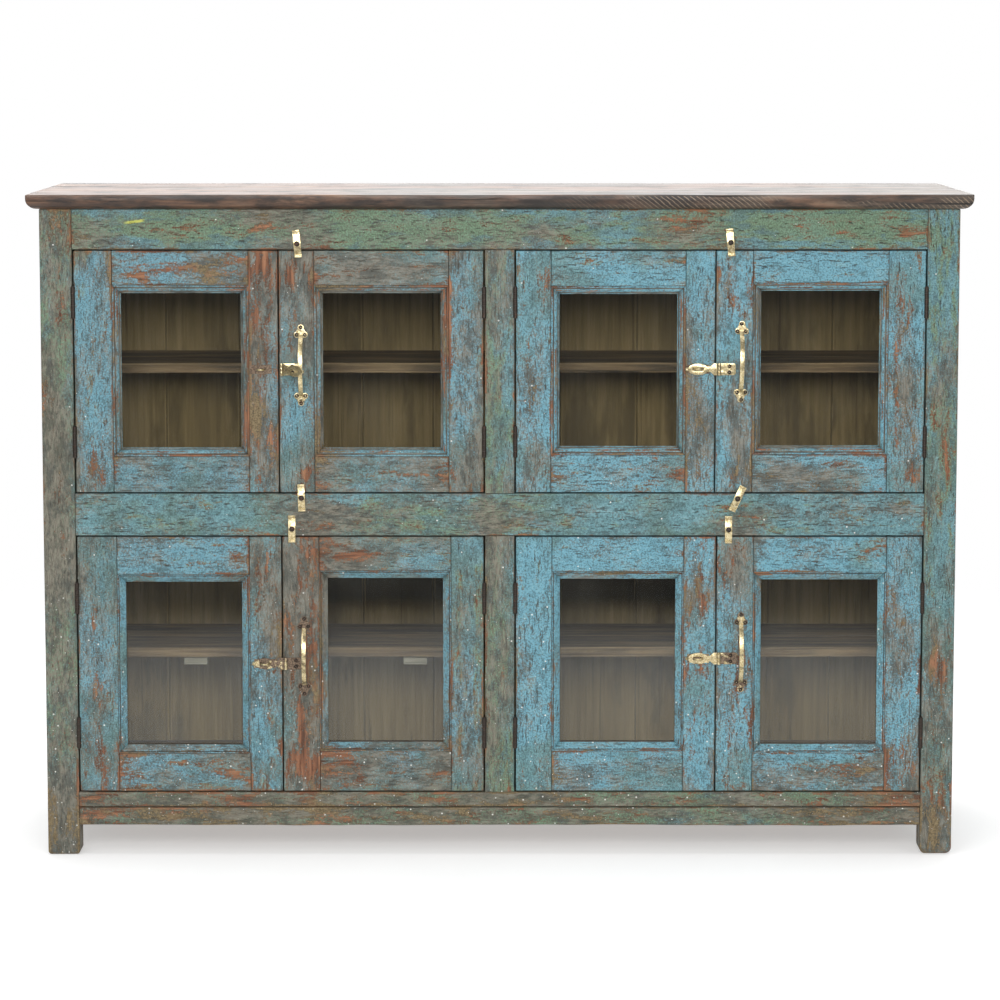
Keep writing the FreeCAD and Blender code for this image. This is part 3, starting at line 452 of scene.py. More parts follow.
def worn_paint(name, blue, teal, yellow_mark=False):
    """Old oil paint over an earlier green coat and brown wood."""
    n = Nodes(name)
    grain, edge = n.attribute("grain"), n.attribute("edge", "Fac")
    wood_share, green_share, grime_and_hollow_shade = n.parts(n.attribute("finish"))
    streak = n.grained(grain, 9, 150, 150, 5, 0.62, 0.2)
    broad = n.noise(grain, 7, 4, 0.6)
    mottle = n.grained(grain, 24, 55, 55, 9, 0.8)
    speck = n.noise(grain, 330, 4, 0.72)
    hair = n.grained(grain, 55, 360, 360, 4, 0.7)
    flake = n.grained(grain, 13, 46, 46, 9, 0.74, 0.3)
    smoke = n.grained(grain, 7, 15, 15, 8, 0.7)

    rust = n.ramp(streak, (0.36, (0.085, 0.036, 0.02)), (0.5, (0.21, 0.088, 0.045)),
                  (0.64, (0.33, 0.16, 0.085)))
    khaki = n.ramp(speck, (0.38, (0.1, 0.072, 0.036)), (0.6, (0.23, 0.175, 0.095)))
    place = n.place()
    across, _, height = n.parts(place)
    foot = n.fade(height, 0.14, 0.06)
    wood = n.mix(n.fade(n.total((smoke, 0.7), (broad, 0.3), (foot, 0.07)), 0.5, 0.58), rust, khaki)

    dulled = n.total((broad, 1.0), (green_share, -0.18), (grime_and_hollow_shade, -0.16))
    coat = n.mix(n.fade(dulled, 0.32, 0.48), teal, blue)
    coat = n.mix(n.fade(mottle, 0.5, 0.62, 0.0, 0.5), coat, (0.185, 0.33, 0.36))
    coat = n.mix(n.fade(mottle, 0.48, 0.38, 0.0, 0.72), coat, (0.046, 0.084, 0.09))
    coat = n.mix(n.fade(speck, 0.48, 0.6, 0.0, 0.6), coat, (0.04, 0.062, 0.062))
    coat = n.mix(n.fade(speck, 0.47, 0.36, 0.0, 0.3), coat, (0.26, 0.4, 0.42))
    under = n.mix(n.fade(speck, 0.4, 0.6), (0.14, 0.225, 0.125), (0.08, 0.11, 0.062))
    green_at = n.fade(n.total((flake, 0.6), (mottle, 0.4), (green_share, 0.16)), 0.55, 0.62, 0.0, 0.8)
    coat = n.mix(green_at, coat, under)

    near_edge = n.times(n.fade(edge, 0.0, 0.006, 1.0, 0.0), n.fade(broad, 0.42, 0.6))
    bare = n.total((flake, 0.62), (speck, 0.24), (mottle, 0.14), (wood_share, 0.165), (near_edge, 0.075))
    bare_at = n.fade(bare, 0.605, 0.635, 0.0, 0.95)
    rim = n.fade(bare, 0.565, 0.605, 0.0, 0.55)

    # Grime, and in the beads' hollows painted shade, darken the coat here.
    dirt_and_hollow_shade = n.total((smoke, 0.62), (speck, 0.38), (grime_and_hollow_shade, 0.2), (near_edge, 0.05))
    dirt_and_hollow_shade_at = n.fade(dirt_and_hollow_shade, 0.5, 0.66, 0.0, 0.88)
    coat = n.mix(rim, coat, (0.17, 0.115, 0.075))
    pitted = n.total((hair, 0.62), (mottle, 0.2), (smoke, 0.18), (grime_and_hollow_shade, 0.02))
    pits = n.fade(pitted, 0.548, 0.59, 0.0, 0.9)
    coat = n.mix(pits, coat, (0.038, 0.034, 0.028))
    grime = n.mix(n.fade(mottle, 0.42, 0.58), (0.07, 0.066, 0.052), (0.185, 0.165, 0.13))
    coat = n.mix(dirt_and_hollow_shade_at, coat, grime)

    surface = n.mix(bare_at, coat, wood)
    # A dark line within about a millimetre of every edge: dark joints, and in the beads' hollows painted
    # shade.
    surface = n.mix(n.fade(edge, 0.0, 0.0011, 0.45, 0.0), surface, (0.03, 0.02, 0.014))

    if yellow_mark:
        centre = n.total(height, (across, -0.13), -1.1633)
        stroke = n.fade(n.math("ABSOLUTE", n.total(centre, (speck, 0.004), -0.002)), 0.003, 0.0012)
        ends = n.times(n.fade(across, -0.633, -0.62), n.fade(across, -0.592, -0.602))
        surface = n.mix(n.times(stroke, ends), surface, (0.42, 0.43, 0.09))
    for size, least, most in ((150.0, 0.93, 0.992), (320.0, 0.955, 0.994)):
        dots = n.add("ShaderNodeTexVoronoi", {"Vector": grain, "Scale": size, "Randomness": 1.0})
        chosen = n.parts(dots.outputs["Color"])[0]
        lower = n.fade(height, 0.05, 0.7, least, most)
        spot = n.fade(dots.outputs["Distance"], 0.14, 0.26, 0.9, 0.0)
        splash = n.times(n.math("GREATER_THAN", chosen, lower), spot)
        surface = n.mix(splash, surface, (0.66, 0.66, 0.62))

    rough = n.total(0.5, (bare_at, 0.24), (mottle, 0.14), (dirt_and_hollow_shade_at, -0.06))
    relief = n.total((bare_at, -0.5), (streak, 0.2), (mottle, 0.5), (speck, 0.25), (pits, -0.45))
    return n.principled(Base_Color=surface, Roughness=rough, Specular_IOR_Level=0.32,
                        Normal=n.bump(relief, 0.0011, 1.0))


def old_boards(name, dark, middle, light, gloss, cracks, painted_shade_above_shelf=False):
    """Bare or waxed boards with cracks, knots and black stains. Where asked, painted shade darkens the
    middle of the lower tier, above its shelf, standing in for the shadow there."""
    n = Nodes(name)
    grain, edge = n.attribute("grain"), n.attribute("edge", "Fac")
    colour, streak = bare_timber_colour(n, grain, dark, middle, light)
    stain = n.grained(grain, 3.5, 12, 12, 6, 0.65)
    colour = n.mix(n.fade(stain, 0.5, 0.66, 0.0, 0.6), colour, tuple(c * 0.45 for c in dark))
    slit = n.grained(grain, 2.2, 120, 120, 4, 0.5, 0.15)
    crack = n.fade(slit, 0.655, 0.685, 0.0, cracks)
    colour = n.mix(crack, colour, (0.01, 0.007, 0.005))
    knots = n.add("ShaderNodeTexVoronoi", {"Vector": n.stretch(grain, 2.6, 9, 9), "Scale": 1.0})
    knot = n.fade(knots.outputs["Distance"], 0.05, 0.13, 0.75, 0.0)
    colour = n.mix(knot, colour, tuple(c * 0.5 for c in dark))
    # Painted shade: the boards are darkened in the middle of the lower tier above the shelf, where the deck
    # above keeps the light off.
    if painted_shade_above_shelf:
        place = n.place()
        x, _, z = n.parts(place)
        reach = n.total(n.math("ABSOLUTE", x), (stain, 0.16))
        darkening = n.times(n.fade(reach, 0.52, 0.4), n.fade(z, 0.34, 0.38))
        darkening = n.times(darkening, n.fade(z, 0.556, 0.545))
        colour = n.mix(n.times(darkening, 0.86), colour, (0.012, 0.009, 0.006))
    rub = n.fade(edge, 0.0, 0.004, 1.0, 0.0)
    rubbed = n.times(rub, n.fade(stain, 0.4, 0.6))
    colour = n.mix(rubbed, colour, tuple(min(1, c * 1.25) for c in light))
    colour = n.mix(n.fade(edge, 0.0, 0.0011, 0.8, 0.0), colour, (0.01, 0.007, 0.005))
    rough = n.total(gloss, (streak, 0.22), (crack, 0.2))
    relief = n.total((streak, 0.5), (crack, -1.0), (knot, 0.2))
    return n.principled(Base_Color=colour, Roughness=rough, Normal=n.bump(relief, 0.0006, 0.8))


def pane(name, dust):
    """Thin old window glass: it mirrors by its angle, lets the rest through, and holds a little dust."""
    n = Nodes(name)
    place = n.place()
    roll = n.grained(place, 9, 9, 4, 2, 0.4)
    wave = n.bump(roll, 0.0008, 0.2)
    film = n.grained(place, 7, 7, 5, 7, 0.7)
    through = n.add("ShaderNodeBsdfTransparent", {"Color": (0.93, 0.955, 0.94, 1)}).outputs[0]
    mirror = {"Color": (1, 1, 1, 1), "Roughness": 0.0, "Normal": wave}
    gloss = n.add("ShaderNodeBsdfGlossy", mirror).outputs[0]
    powder = n.add("ShaderNodeBsdfDiffuse", {"Color": (0.55, 0.53, 0.48, 1)}).outputs[0]
    thick = n.fade(film, 0.35, 0.8, dust * 0.3, dust)
    dusty = n.add("ShaderNodeMixShader", {0: thick, 1: through, 2: powder}).outputs[0]
    lean = n.add("ShaderNodeFresnel", {"IOR": 1.4, "Normal": wave}).outputs[0]
    return n.finish(n.add("ShaderNodeMixShader", {0: lean, 1: dusty, 2: gloss}).outputs[0])


def brass(name, tarnish, rust, rust_depth):
    """Rubbed brass, tarnished in patches and with painted shade where it meets the wood. Nearer the door
    than rust_depth it is rusty and smeared with old paint."""
    n = Nodes(name)
    place = n.place()
    stands = n.math("SUBTRACT", FRONT, n.parts(place)[1])
    cloud = n.noise(place, 95, 6, 0.65)
    fine = n.noise(place, 420, 4, 0.65)
    colour = n.mix(n.fade(fine, 0.38, 0.6), (0.42, 0.32, 0.15), (0.76, 0.66, 0.42))
    tarnish_and_contact_shade = n.fade(n.total((cloud, 0.8), (fine, 0.3), (tarnish, 0.5)), 0.57, 0.72, 0.0, 0.85)
    # Painted shade: within about a millimetre of the door face the brass is darkened, standing in for the
    # shadow where it meets the wood.
    tarnish_and_contact_shade = n.math("MAXIMUM", tarnish_and_contact_shade, n.fade(stands, 0.0012, 0.0004, 0.0, 0.95))
    colour = n.mix(tarnish_and_contact_shade, colour, (0.05, 0.032, 0.018))
    low = n.fade(stands, rust_depth, rust_depth * 0.4)
    smear = n.fade(n.total((n.noise(place, 75, 6, 0.7, 0.4), 1.0), (low, rust)), 0.7, 0.78, 0.0, 0.95)
    stain = n.mix(n.fade(fine, 0.4, 0.6), (0.05, 0.028, 0.018), (0.185, 0.125, 0.085))
    colour = n.mix(smear, colour, stain)
    metal = n.total(1.0, (smear, -0.9), (tarnish_and_contact_shade, -0.5))
    rough = n.total(0.27, (tarnish_and_contact_shade, 0.3), (smear, 0.35), (fine, 0.12))
    return n.principled(Base_Color=colour, Metallic=metal, Roughness=rough,
                        Normal=n.bump(n.total((cloud, 0.6), (fine, 0.4), (smear, 0.8)), 0.0004, 0.8))


def rusty_steel(name, rust):
    """Dark forged steel with brown rust bloom."""
    n = Nodes(name)
    place = n.place()
    cloud = n.noise(place, 130, 7, 0.68)
    fine = n.noise(place, 700, 3, 0.6)
    bloom = n.fade(n.total((cloud, 1.0), (fine, 0.25)), 0.62 - rust, 0.82 - rust)
    colour = n.mix(bloom, n.mix(fine, (0.018, 0.014, 0.012), (0.07, 0.055, 0.045)), (0.17, 0.062, 0.026))
    metal = n.total(0.75, (bloom, -0.7))
    rough = n.total(0.42, (bloom, 0.38), (fine, 0.08))
    return n.principled(Base_Color=colour, Metallic=metal, Roughness=rough,
                        Normal=n.bump(n.total((cloud, 0.7), (fine, 0.3)), 0.0004, 0.8))


def floor_paint(name, near, far):
    """Plain pale studio floor that thins out to nothing between two distances in front."""
    n = Nodes(name)
    place = n.place()
    tone = n.ramp(n.noise(place, 3, 3, 0.5), (0.3, (0.6, 0.6, 0.6)), (0.7, (0.63, 0.63, 0.63)))
    matt = n.add("ShaderNodeBsdfDiffuse", {"Color": tone}).outputs[0]
    glow = n.add("ShaderNodeEmission", {"Color": (1, 1, 1, 1), "Strength": 0.4}).outputs[0]
    lit = n.add("ShaderNodeAddShader", {0: matt, 1: glow}).outputs[0]
    oval = {0: n.stretch(place, 0.6, 1, 1)}
    away = n.add("ShaderNodeVectorMath", oval, operation="LENGTH").outputs["Value"]
    share = n.fade(away, near, far)
    gone = n.add("ShaderNodeBsdfTransparent").outputs[0]
    return n.finish(n.add("ShaderNodeMixShader", {0: share, 1: lit, 2: gone}).outputs[0])


def waxed_top(name, slab_high):
    """The top: red-brown at one end, near black at the other, scored with slanting cuts there."""
    n = Nodes(name)
    grain, edge = n.attribute("grain"), n.attribute("edge", "Fac")
    red, streak = bare_timber_colour(n, grain, (0.035, 0.019, 0.012), (0.145, 0.072, 0.04),
                                     (0.33, 0.185, 0.108))
    dark, _ = bare_timber_colour(n, grain, (0.018, 0.014, 0.011), (0.085, 0.062, 0.045),
                                 (0.23, 0.175, 0.125))
    place = n.place()
    x, _, z = n.parts(place)
    patch = n.grained(place, 3.2, 5, 14, 6, 0.62)
    colour = n.mix(n.fade(n.total((patch, 1.0), (x, 0.14)), 0.44, 0.58), red, dark)
    blotch = n.grained(place, 14, 16, 60, 7, 0.68)
    colour = n.mix(n.fade(blotch, 0.52, 0.66, 0.0, 0.8), colour, (0.014, 0.01, 0.008))
    below = n.fade(z, float(slab_high[2]) - 0.001, float(slab_high[2]) - 0.004)
    darkening = n.times(below, n.fade(blotch, 0.38, 0.6, 0.3, 0.78))
    colour = n.mix(darkening, colour, (0.014, 0.01, 0.008))
    slant = n.math("SINE", n.total((x, 640.0), (z, 820.0), (blotch, 9.0)))
    scored = n.times(n.fade(slant, 0.55, 0.9), n.fade(x, 0.05, 0.35))
    scored = n.times(scored, n.fade(patch, 0.42, 0.52))
    scored = n.times(scored, below)
    colour = n.mix(n.times(scored, 0.7), colour, (0.3, 0.22, 0.15))
    crack = n.fade(n.grained(grain, 3, 130, 130, 5, 0.6), 0.6, 0.64, 0.0, 0.9)
    colour = n.mix(crack, colour, (0.008, 0.006, 0.005))
    colour = n.mix(n.fade(edge, 0.0, 0.001, 0.7, 0.0), colour, (0.012, 0.008, 0.006))
    rough = n.total(0.26, (streak, 0.16), (blotch, 0.22), (crack, 0.2))
    relief = n.total((streak, 0.4), (crack, -0.9), (scored, -0.8), (blotch, 0.5))
    return n.principled(Base_Color=colour, Roughness=rough, Normal=n.bump(relief, 0.0007, 0.8))


BLUE, TEAL = (0.108, 0.252, 0.312), (0.085, 0.16, 0.158)
CASE_BLUE, CASE_TEAL = (0.104, 0.225, 0.25), (0.084, 0.15, 0.128)
FRESH_BLUE, FRESH_TEAL = (0.122, 0.3, 0.375), (0.098, 0.205, 0.215)
door_paint = worn_paint("door_paint", BLUE, TEAL)
fresher_paint = worn_paint("fresher_paint", FRESH_BLUE, FRESH_TEAL)
case_paint = worn_paint("case_paint", CASE_BLUE, CASE_TEAL, yellow_mark=True)
top_wood = waxed_top("top_wood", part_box("top_boards")[1])
inner_wood = old_boards("inner_wood", (0.215, 0.14, 0.058), (0.3, 0.198, 0.084), (0.4, 0.27, 0.125),
                        0.66, 0.3, painted_shade_above_shelf=True)
shelf_wood = old_boards("shelf_wood", (0.06, 0.034, 0.018), (0.19, 0.112, 0.055), (0.38, 0.245, 0.13),
                        0.6, 0.9)
rear_wood = old_boards("rear_wood", (0.06, 0.046, 0.032), (0.13, 0.104, 0.076),
                       (0.225, 0.185, 0.14), 0.7, 0.8)
pale_wood = old_boards("pale_wood", (0.16, 0.13, 0.1), (0.27, 0.23, 0.18), (0.4, 0.35, 0.28), 0.6, 0.4)
upper_glass = pane("upper_glass", 0.02)
lower_glass = pane("lower_glass", 0.03)
bright_brass = brass("bright_brass", 0.0, 0.0, 0.01)
dull_brass = brass("dull_brass", 0.05, 0.3, 0.006)
painted_brass = brass("painted_brass", 0.1, 0.42, 0.008)
steel = rusty_steel("hinge_steel", -0.06)
dark_screw = rusty_steel("screw_steel", -0.04)


# ======================= carcass =======================
def coat_node(node, material):
    """Gives a CAD node that stays as it is its material."""
    materials = frame["nodes"][node].data.materials
    materials.clear()
    materials.append(material)


def low_high(node):
    low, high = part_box(node)
    return np.array(low), np.array(high)


def begin(node):
    """An empty timber piece for a CAD node, with the node's corners."""
    return Timber(node + "_timber"), *low_high(node)


def one_board(node, along, base, material, **more):
    timber, low, high = begin(node)
    board(timber, low, high, along, base, **more)
    return timber.piece("root", node, "case_paint", material)


def worn_foot(radius):
    """Rounds a post's foot more than its other edges."""
    def shape(points):
        rise = points[:, 2].clip(0, radius)
        inset = radius - np.sqrt(np.maximum(radius ** 2 - (radius - rise) ** 2, 0))
        middle = (points.max(0) + points.min(0)) / 2
        half = (points.max(0) - points.min(0)) / 2
        out = points.copy()
        for a in (0, 1):
            out[:, a] = middle[a] + (points[:, a] - middle[a]) * (1 - inset / half[a])
        return out
    return shape


def foot_levels(radius):
    return (None, None, tuple(radius * k / 5 for k in range(1, 6)))


for node, radius, base in (("front_post_left", 0.007, (0.1, 0.3, 0.28)),
                           ("front_post_right", 0.013, (0.06, 0.18, 0.1))):
    one_board(node, 2, base, case_paint, shape=worn_foot(radius), levels=foot_levels(radius))

rear, low, high = begin("rear_posts")
for x0, x1 in ((low[0], -POST_IN), (POST_IN, high[0])):
    board(rear, (x0, low[1], low[2]), (x1, high[1], high[2]), 2, (0.22, 0.3, 0.5),
          shape=worn_foot(0.007), levels=foot_levels(0.007))
rear.piece("root", "rear_posts", "case_paint", case_paint)


def sagged(drop):
    """An underside worn unevenly along its length."""
    def shape(points):
        share = (1 - (points[:, 2] - points[:, 2].min()) / 0.02).clip(0, 1)
        line = points * (1, 0, 0)
        bite = ripple(line, 6, 3) + 0.5 * ripple(line, 25, 8)
        out = points.copy()
        out[:, 2] += share * (drop * (0.6 + bite)).clip(0, drop * 1.4)
        return out
    return shape


RAILS = {
    "top_rail": (0.16, 0.32, 0.1), "middle_rail": (0.06, 0.1, 0.06), "bottom_rail": (0.26, 0.55, 0.4),
}
for node, base in RAILS.items():
    timber, low, high = begin(node)
    ends = [(-POST_IN, FRONT, low[2]), (POST_IN, FRONT + FRONT_MEMBER, high[2])]
    if node == "bottom_rail":
        groove = low[2] + (high[2] - low[2]) * 0.57
        ends_low = (POST_IN, FRONT + FRONT_MEMBER, groove - 0.0008)
        board(timber, ends[0], ends_low, 0, base, shape=sagged(0.0035), arris=0.0022)
        board(timber, (-POST_IN, FRONT, groove + 0.0008), ends[1], 0, base)
        board(timber, (-POST_IN + 0.001, FRONT + 0.004, groove - 0.006),
              (POST_IN - 0.001, FRONT + FRONT_MEMBER - 0.001, groove + 0.006), 0, (0.2, 0.1, 0.9), cell=0.05)
    else:
        board(timber, *ends, 0, base)
    timber.piece("root", node, "case_paint", case_paint)

stiles, low, high = begin("centre_stiles")
top_z, mid_z, low_z = (low_high(k) for k in RAILS)
for z0, z1 in ((mid_z[1][2], top_z[0][2]), (low_z[1][2], mid_z[0][2])):
    board(stiles, (low[0], FRONT, z0), (high[0], FRONT + FRONT_MEMBER, z1), 2, (0.1, 0.3, 0.25))
stiles.piece("root", "centre_stiles", "case_paint", case_paint)

sides, low, high = begin("side_panels")
for sign in (-1, 1):
    x0, x1 = sorted((sign * high[0], sign * (high[0] - BOARD_THICK)))
    width = (high[1] - low[1]) / 3
    for k in range(3):
        y0 = low[1] + k * width
        board(sides, (x0, y0 + SLIT, low[2]), (x1, y0 + width - SLIT, high[2]), 2, (0.14, 0.3, 0.3),
              cell=0.022, side=lambda x, y, z, s=sign, e=high[0]: 0 if s * x > e - BOARD_THICK / 2 else 1)
sides.piece("root", "side_panels", "case_paint", case_paint, inner_wood)

rails, low, high = begin("frame_rails")
thick = high[0] - low_high("side_panels")[1][0]
back_low, back_high = low_high("back_boards")
side_y = (low_high("side_panels")[0][1], low_high("side_panels")[1][1])
for rail_low, rail_high in (top_z, mid_z, low_z):
    for sign in (-1, 1):
        x0, x1 = sorted((sign * high[0], sign * (high[0] - thick)))
        board(rails, (x0, side_y[0], rail_low[2]), (x1, side_y[1], rail_high[2]), 1, (0.16, 0.3, 0.3))
    z1 = rail_high[2] - (BOARD_THICK if rail_high[2] < SLAB_UNDER - 0.001 else 0)
    board(rails, (-POST_IN, back_low[1] - thick, rail_low[2]), (POST_IN, back_low[1], z1), 0,
          (0.9, 0, 0.5), cell=0.03, side=lambda x, y, z: 1)
rails.piece("root", "frame_rails", "case_paint", case_paint, shelf_wood)

back = Timber("back_boards_timber")
edges = np.linspace(back_low[0], back_high[0], 13)
edges[1:-1] += rng.uniform(-0.012, 0.012, 11)
for x0, x1 in zip(edges, edges[1:]):
    board(back, (x0 + SLIT, back_low[1], back_low[2]), (x1 - SLIT, back_high[1], back_high[2]), 2,
          cell=0.03, side=lambda x, y, z: 1 if y > back_low[1] + BOARD_THICK / 2 else 0)
inset = np.array([-0.01, 0.003, 0.001])
for x in edges[1:-1]:
    tongue(back, (x, *back_low[1:]) + inset, (x, *back_high[1:]) - inset)
back.piece("root", "back_boards", "bare_wood", inner_wood, rear_wood)

partition, low, high = begin("centre_partition")
for z0, z1 in ((low[2], mid_z[1][2] - BOARD_THICK), (mid_z[1][2], high[2])):
    board(partition, (low[0], low[1], z0), (high[0], high[1], z1), 2, cell=0.03)
partition.piece("root", "centre_partition", "bare_wood", inner_wood)

decks, low, high = begin("decks")
for z1 in (low_z[1][2], mid_z[1][2]):
    cuts = np.linspace(low[1], high[1], 4)
    for y0, y1 in zip(cuts, cuts[1:]):
        reach = POST_IN if (y0 < low[1] + 0.01 or y1 > high[1] - 0.01) else high[0]
        board(decks, (-reach, y0 + SLIT, z1 - BOARD_THICK), (reach, y1 - SLIT, z1), 0, cell=0.03)
decks.piece("root", "decks", "bare_wood", shelf_wood)


def ragged_front(points):
    """A shelf's front edge, sawn by hand and split in places."""
    out = points.copy()
    y0 = points[:, 1].min()
    share = (1 - (points[:, 1] - y0) / 0.02).clip(0, 1)
    flat = np.stack([points[:, 0], points[:, 2] * 0.4, 0 * points[:, 0]], 1)
    bite = 0.004 + 0.01 * ripple(flat, 7, 2) + 0.006 * ripple(flat, 40, 6)
    out[:, 1] += share * bite.clip(0, 0.012)
    out[:, 2] += 0.004 * ripple(points * (1, 1, 0), 2.2, 4)
    return out


shelves, low, high = begin("shelves")
half_partition = low_high("centre_partition")[1][0]
for z1 in (low[2] + SHELF_THICK, high[2]):
    for sign in (-1, 1):
        x0, x1 = sorted((sign * half_partition, sign * high[0]))
        middle = (low[1] + high[1]) / 2
        board(shelves, (x0 + SLIT, low[1], z1 - SHELF_THICK), (x1 - SLIT, middle - SLIT, z1), 0, cell=0.02,
              shape=ragged_front, chips=1.6)
        board(shelves, (x0 + SLIT, middle + SLIT, z1 - SHELF_THICK), (x1 - SLIT, high[1], z1), 0, cell=0.03)
shelves.piece("root", "shelves", "bare_wood", shelf_wood)

bearers, low, high = begin("shelf_bearers")
shelf_unders = (low_high("shelves")[0][2], low_high("shelves")[1][2] - SHELF_THICK)
for z1 in shelf_unders:
    for sign in (-1, 1):
        for inner in (half_partition, high[0] - BEARER):
            x0, x1 = sorted((sign * inner, sign * (inner + BEARER)))
            board(bearers, (x0, low[1] + 0.005, z1 - BEARER), (x1, high[1], z1 - 0.001), 1)
for x in (-0.534, -0.148):
    board(bearers, (x - 0.021, low[1], shelf_unders[0] - 0.013),
          (x + 0.021, low[1] + 0.014, shelf_unders[0] - 0.001), 0, side=lambda *at: 1)
bearers.piece("root", "shelf_bearers", "bare_wood", shelf_wood, pale_wood)


# ---- the top ----
slab_low, slab_high = low_high("top_boards")


def slab_edge(points):
    """Rounds the top's front and ends under, with a hand-worn line."""
    rise = (points[:, 2] - slab_low[2]).clip(0, TOP_ROUND)
    inset = TOP_ROUND - np.sqrt(np.maximum(TOP_ROUND ** 2 - (TOP_ROUND - rise) ** 2, 0))
    out = points.copy()
    depth = slab_high[1] - slab_low[1]
    out[:, 1] = slab_high[1] - (slab_high[1] - points[:, 1]) * (1 - inset / depth)
    out[:, 0] = points[:, 0] * (1 - inset / slab_high[0])
    line = np.stack([points[:, 0], 0 * points[:, 0], points[:, 2] * 3], 1)
    near = (1 - (points[:, 1] - slab_low[1]) / 0.03).clip(0, 1)
    sway = 0.0022 * (0.5 + ripple(line, 5, 12)) + 0.0012 * (0.5 + ripple(line, 45, 4))
    out[:, 1] += near * sway.clip(0)
    out[:, 2] -= near * (0.002 * (0.3 + ripple(line, 3, 7))).clip(0) * (rise / TOP_ROUND)
    return out


top = Timber("top_boards_timber")
depth = (slab_high[1] - slab_low[1]) / 3
z_levels = tuple(0.0035 * k for k in range(1, 7))
for k in range(3):
    y0 = slab_low[1] + k * depth
    board(top, (slab_low[0], y0 + (SLIT if k else 0), slab_low[2]),
          (slab_high[0], y0 + depth - (SLIT if k < 2 else 0), slab_high[2]), 0, (0.5, 0, 0.4), arris=0.0014,
          shape=slab_edge, levels=(None, None, z_levels), chips=0.8)
top.piece("root", "top_boards", "dark_top_wood", top_wood)

# ======================= doors =======================
DOOR_BASE = {
    "upper_door_1": (0.16, 0.05, 0.22), "upper_door_2": (0.14, 0.05, 0.3),
    "upper_door_3": (0.1, 0.0, 0.12), "upper_door_4": (0.14, 0.0, 0.2),
    "lower_door_1": (0.12, 0.05, 0.2), "lower_door_2": (0.14, 0.1, 0.26),
    "lower_door_3": (0.1, 0.0, 0.1), "lower_door_4": (0.12, 0.0, 0.16),
}
LAP = 0.0002  # how far a door's rails stop short of the glass opening's sides
for door, base in DOOR_BASE.items():
    low, high = low_high(door + "_frame")
    pane_low, pane_high = low_high(door + "_glass")
    x0, z0 = pane_low[0] - GLASS_PLAY, pane_low[2] - GLASS_PLAY
    x1, z1 = pane_high[0] + GLASS_PLAY, pane_high[2] + GLASS_PLAY
    timber = Timber(door + "_joinery")
    for a, b in ((low[0], x0), (x1, high[0])):
        board(timber, (a, low[1], low[2]), (b, high[1], high[2]), 2, base)
    for a, b in ((low[2], z0), (z1, high[2])):
        board(timber, (x0 + LAP, low[1], a), (x1 - LAP, high[1], b), 0, base)
    section, crest = bead_section(door[:5])
    ring(timber, x0, x1, z0, z1, section, tuple(v * 0.8 for v in base), crest)
    d0 = BEAD_DEPTH + (pane_high[1] - pane_low[1])
    strip = [(0, d0), (STRIP_WIDTH, d0), (STRIP_WIDTH, d0 + STRIP_DEPTH * 0.6),
             (STRIP_WIDTH * 0.5, d0 + STRIP_DEPTH), (0, d0 + STRIP_DEPTH)]
    ring(timber, x0, x1, z0, z1, strip[::-1], base, np.zeros(5, int))
    timber.piece(door, door + "_frame", "door_paint", fresher_paint if door[-1] in "34" else door_paint)
    coat_node(door + "_glass", upper_glass if door[0] == "u" else lower_glass)


# ======================= metalwork =======================
def softened(node, name, width, material):
    """A copy of a metal node with its sharp edges rounded off, in the node's place."""
    source = frame["nodes"][node]
    mesh = source.data.copy()
    work = bmesh.new()
    work.from_mesh(mesh)
    bmesh.ops.remove_doubles(work, verts=work.verts, dist=1e-6)
    bmesh.ops.dissolve_limit(work, angle_limit=0.03, verts=work.verts, edges=work.edges)
    sharp = [e for e in work.edges if len(e.link_faces) == 2 and e.calc_face_angle(0) > 0.6]
    bmesh.ops.bevel(work, geom=sharp, offset=width, segments=2, profile=0.6, affect="EDGES",
                    clamp_overlap=True, offset_type="OFFSET")
    bmesh.ops.remove_doubles(work, verts=work.verts, dist=1e-6)
    work.to_mesh(mesh)
    work.free()
    mesh.materials.clear()
    mesh.materials.append(material)
    if "custom_normal" in mesh.attributes:
        mesh.attributes.remove(mesh.attributes["custom_normal"])
    mesh.polygons.foreach_set("use_smooth", [True] * len(mesh.polygons))
    obj = settle(name, mesh, source["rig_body"], node)
    mesh.set_sharp_from_angle(angle=0.9)
    return obj


for node in BUTTONS:
    softened(node, node + "_brass", 0.0005, bright_brass)
for door, strap in STRAPS.items():
    softened(strap, strap + "_brass", 0.00035, dull_brass if door == "lower_door_2" else bright_brass)
PLATE_FINISH = {"lower_door_2": painted_brass, "lower_door_4": dull_brass}
for door in FITTED:
    softened(door + "_handle_and_hasp_plate", door + "_handle_and_plate_brass", 0.0009,
             PLATE_FINISH.get(door, bright_brass))
for door in DOORS:
    coat_node(door + "_hinge_leaves", steel)
    if door not in FITTED:
        finish = painted_brass if door == "upper_door_1" else dull_brass
        softened(door + "_staple", door + "_staple_brass", 0.0002, finish)
coat_node("hinge_fixed_leaves", steel)
coat_node("hinge_pins", steel)
coat_node("button_screws", dark_screw)

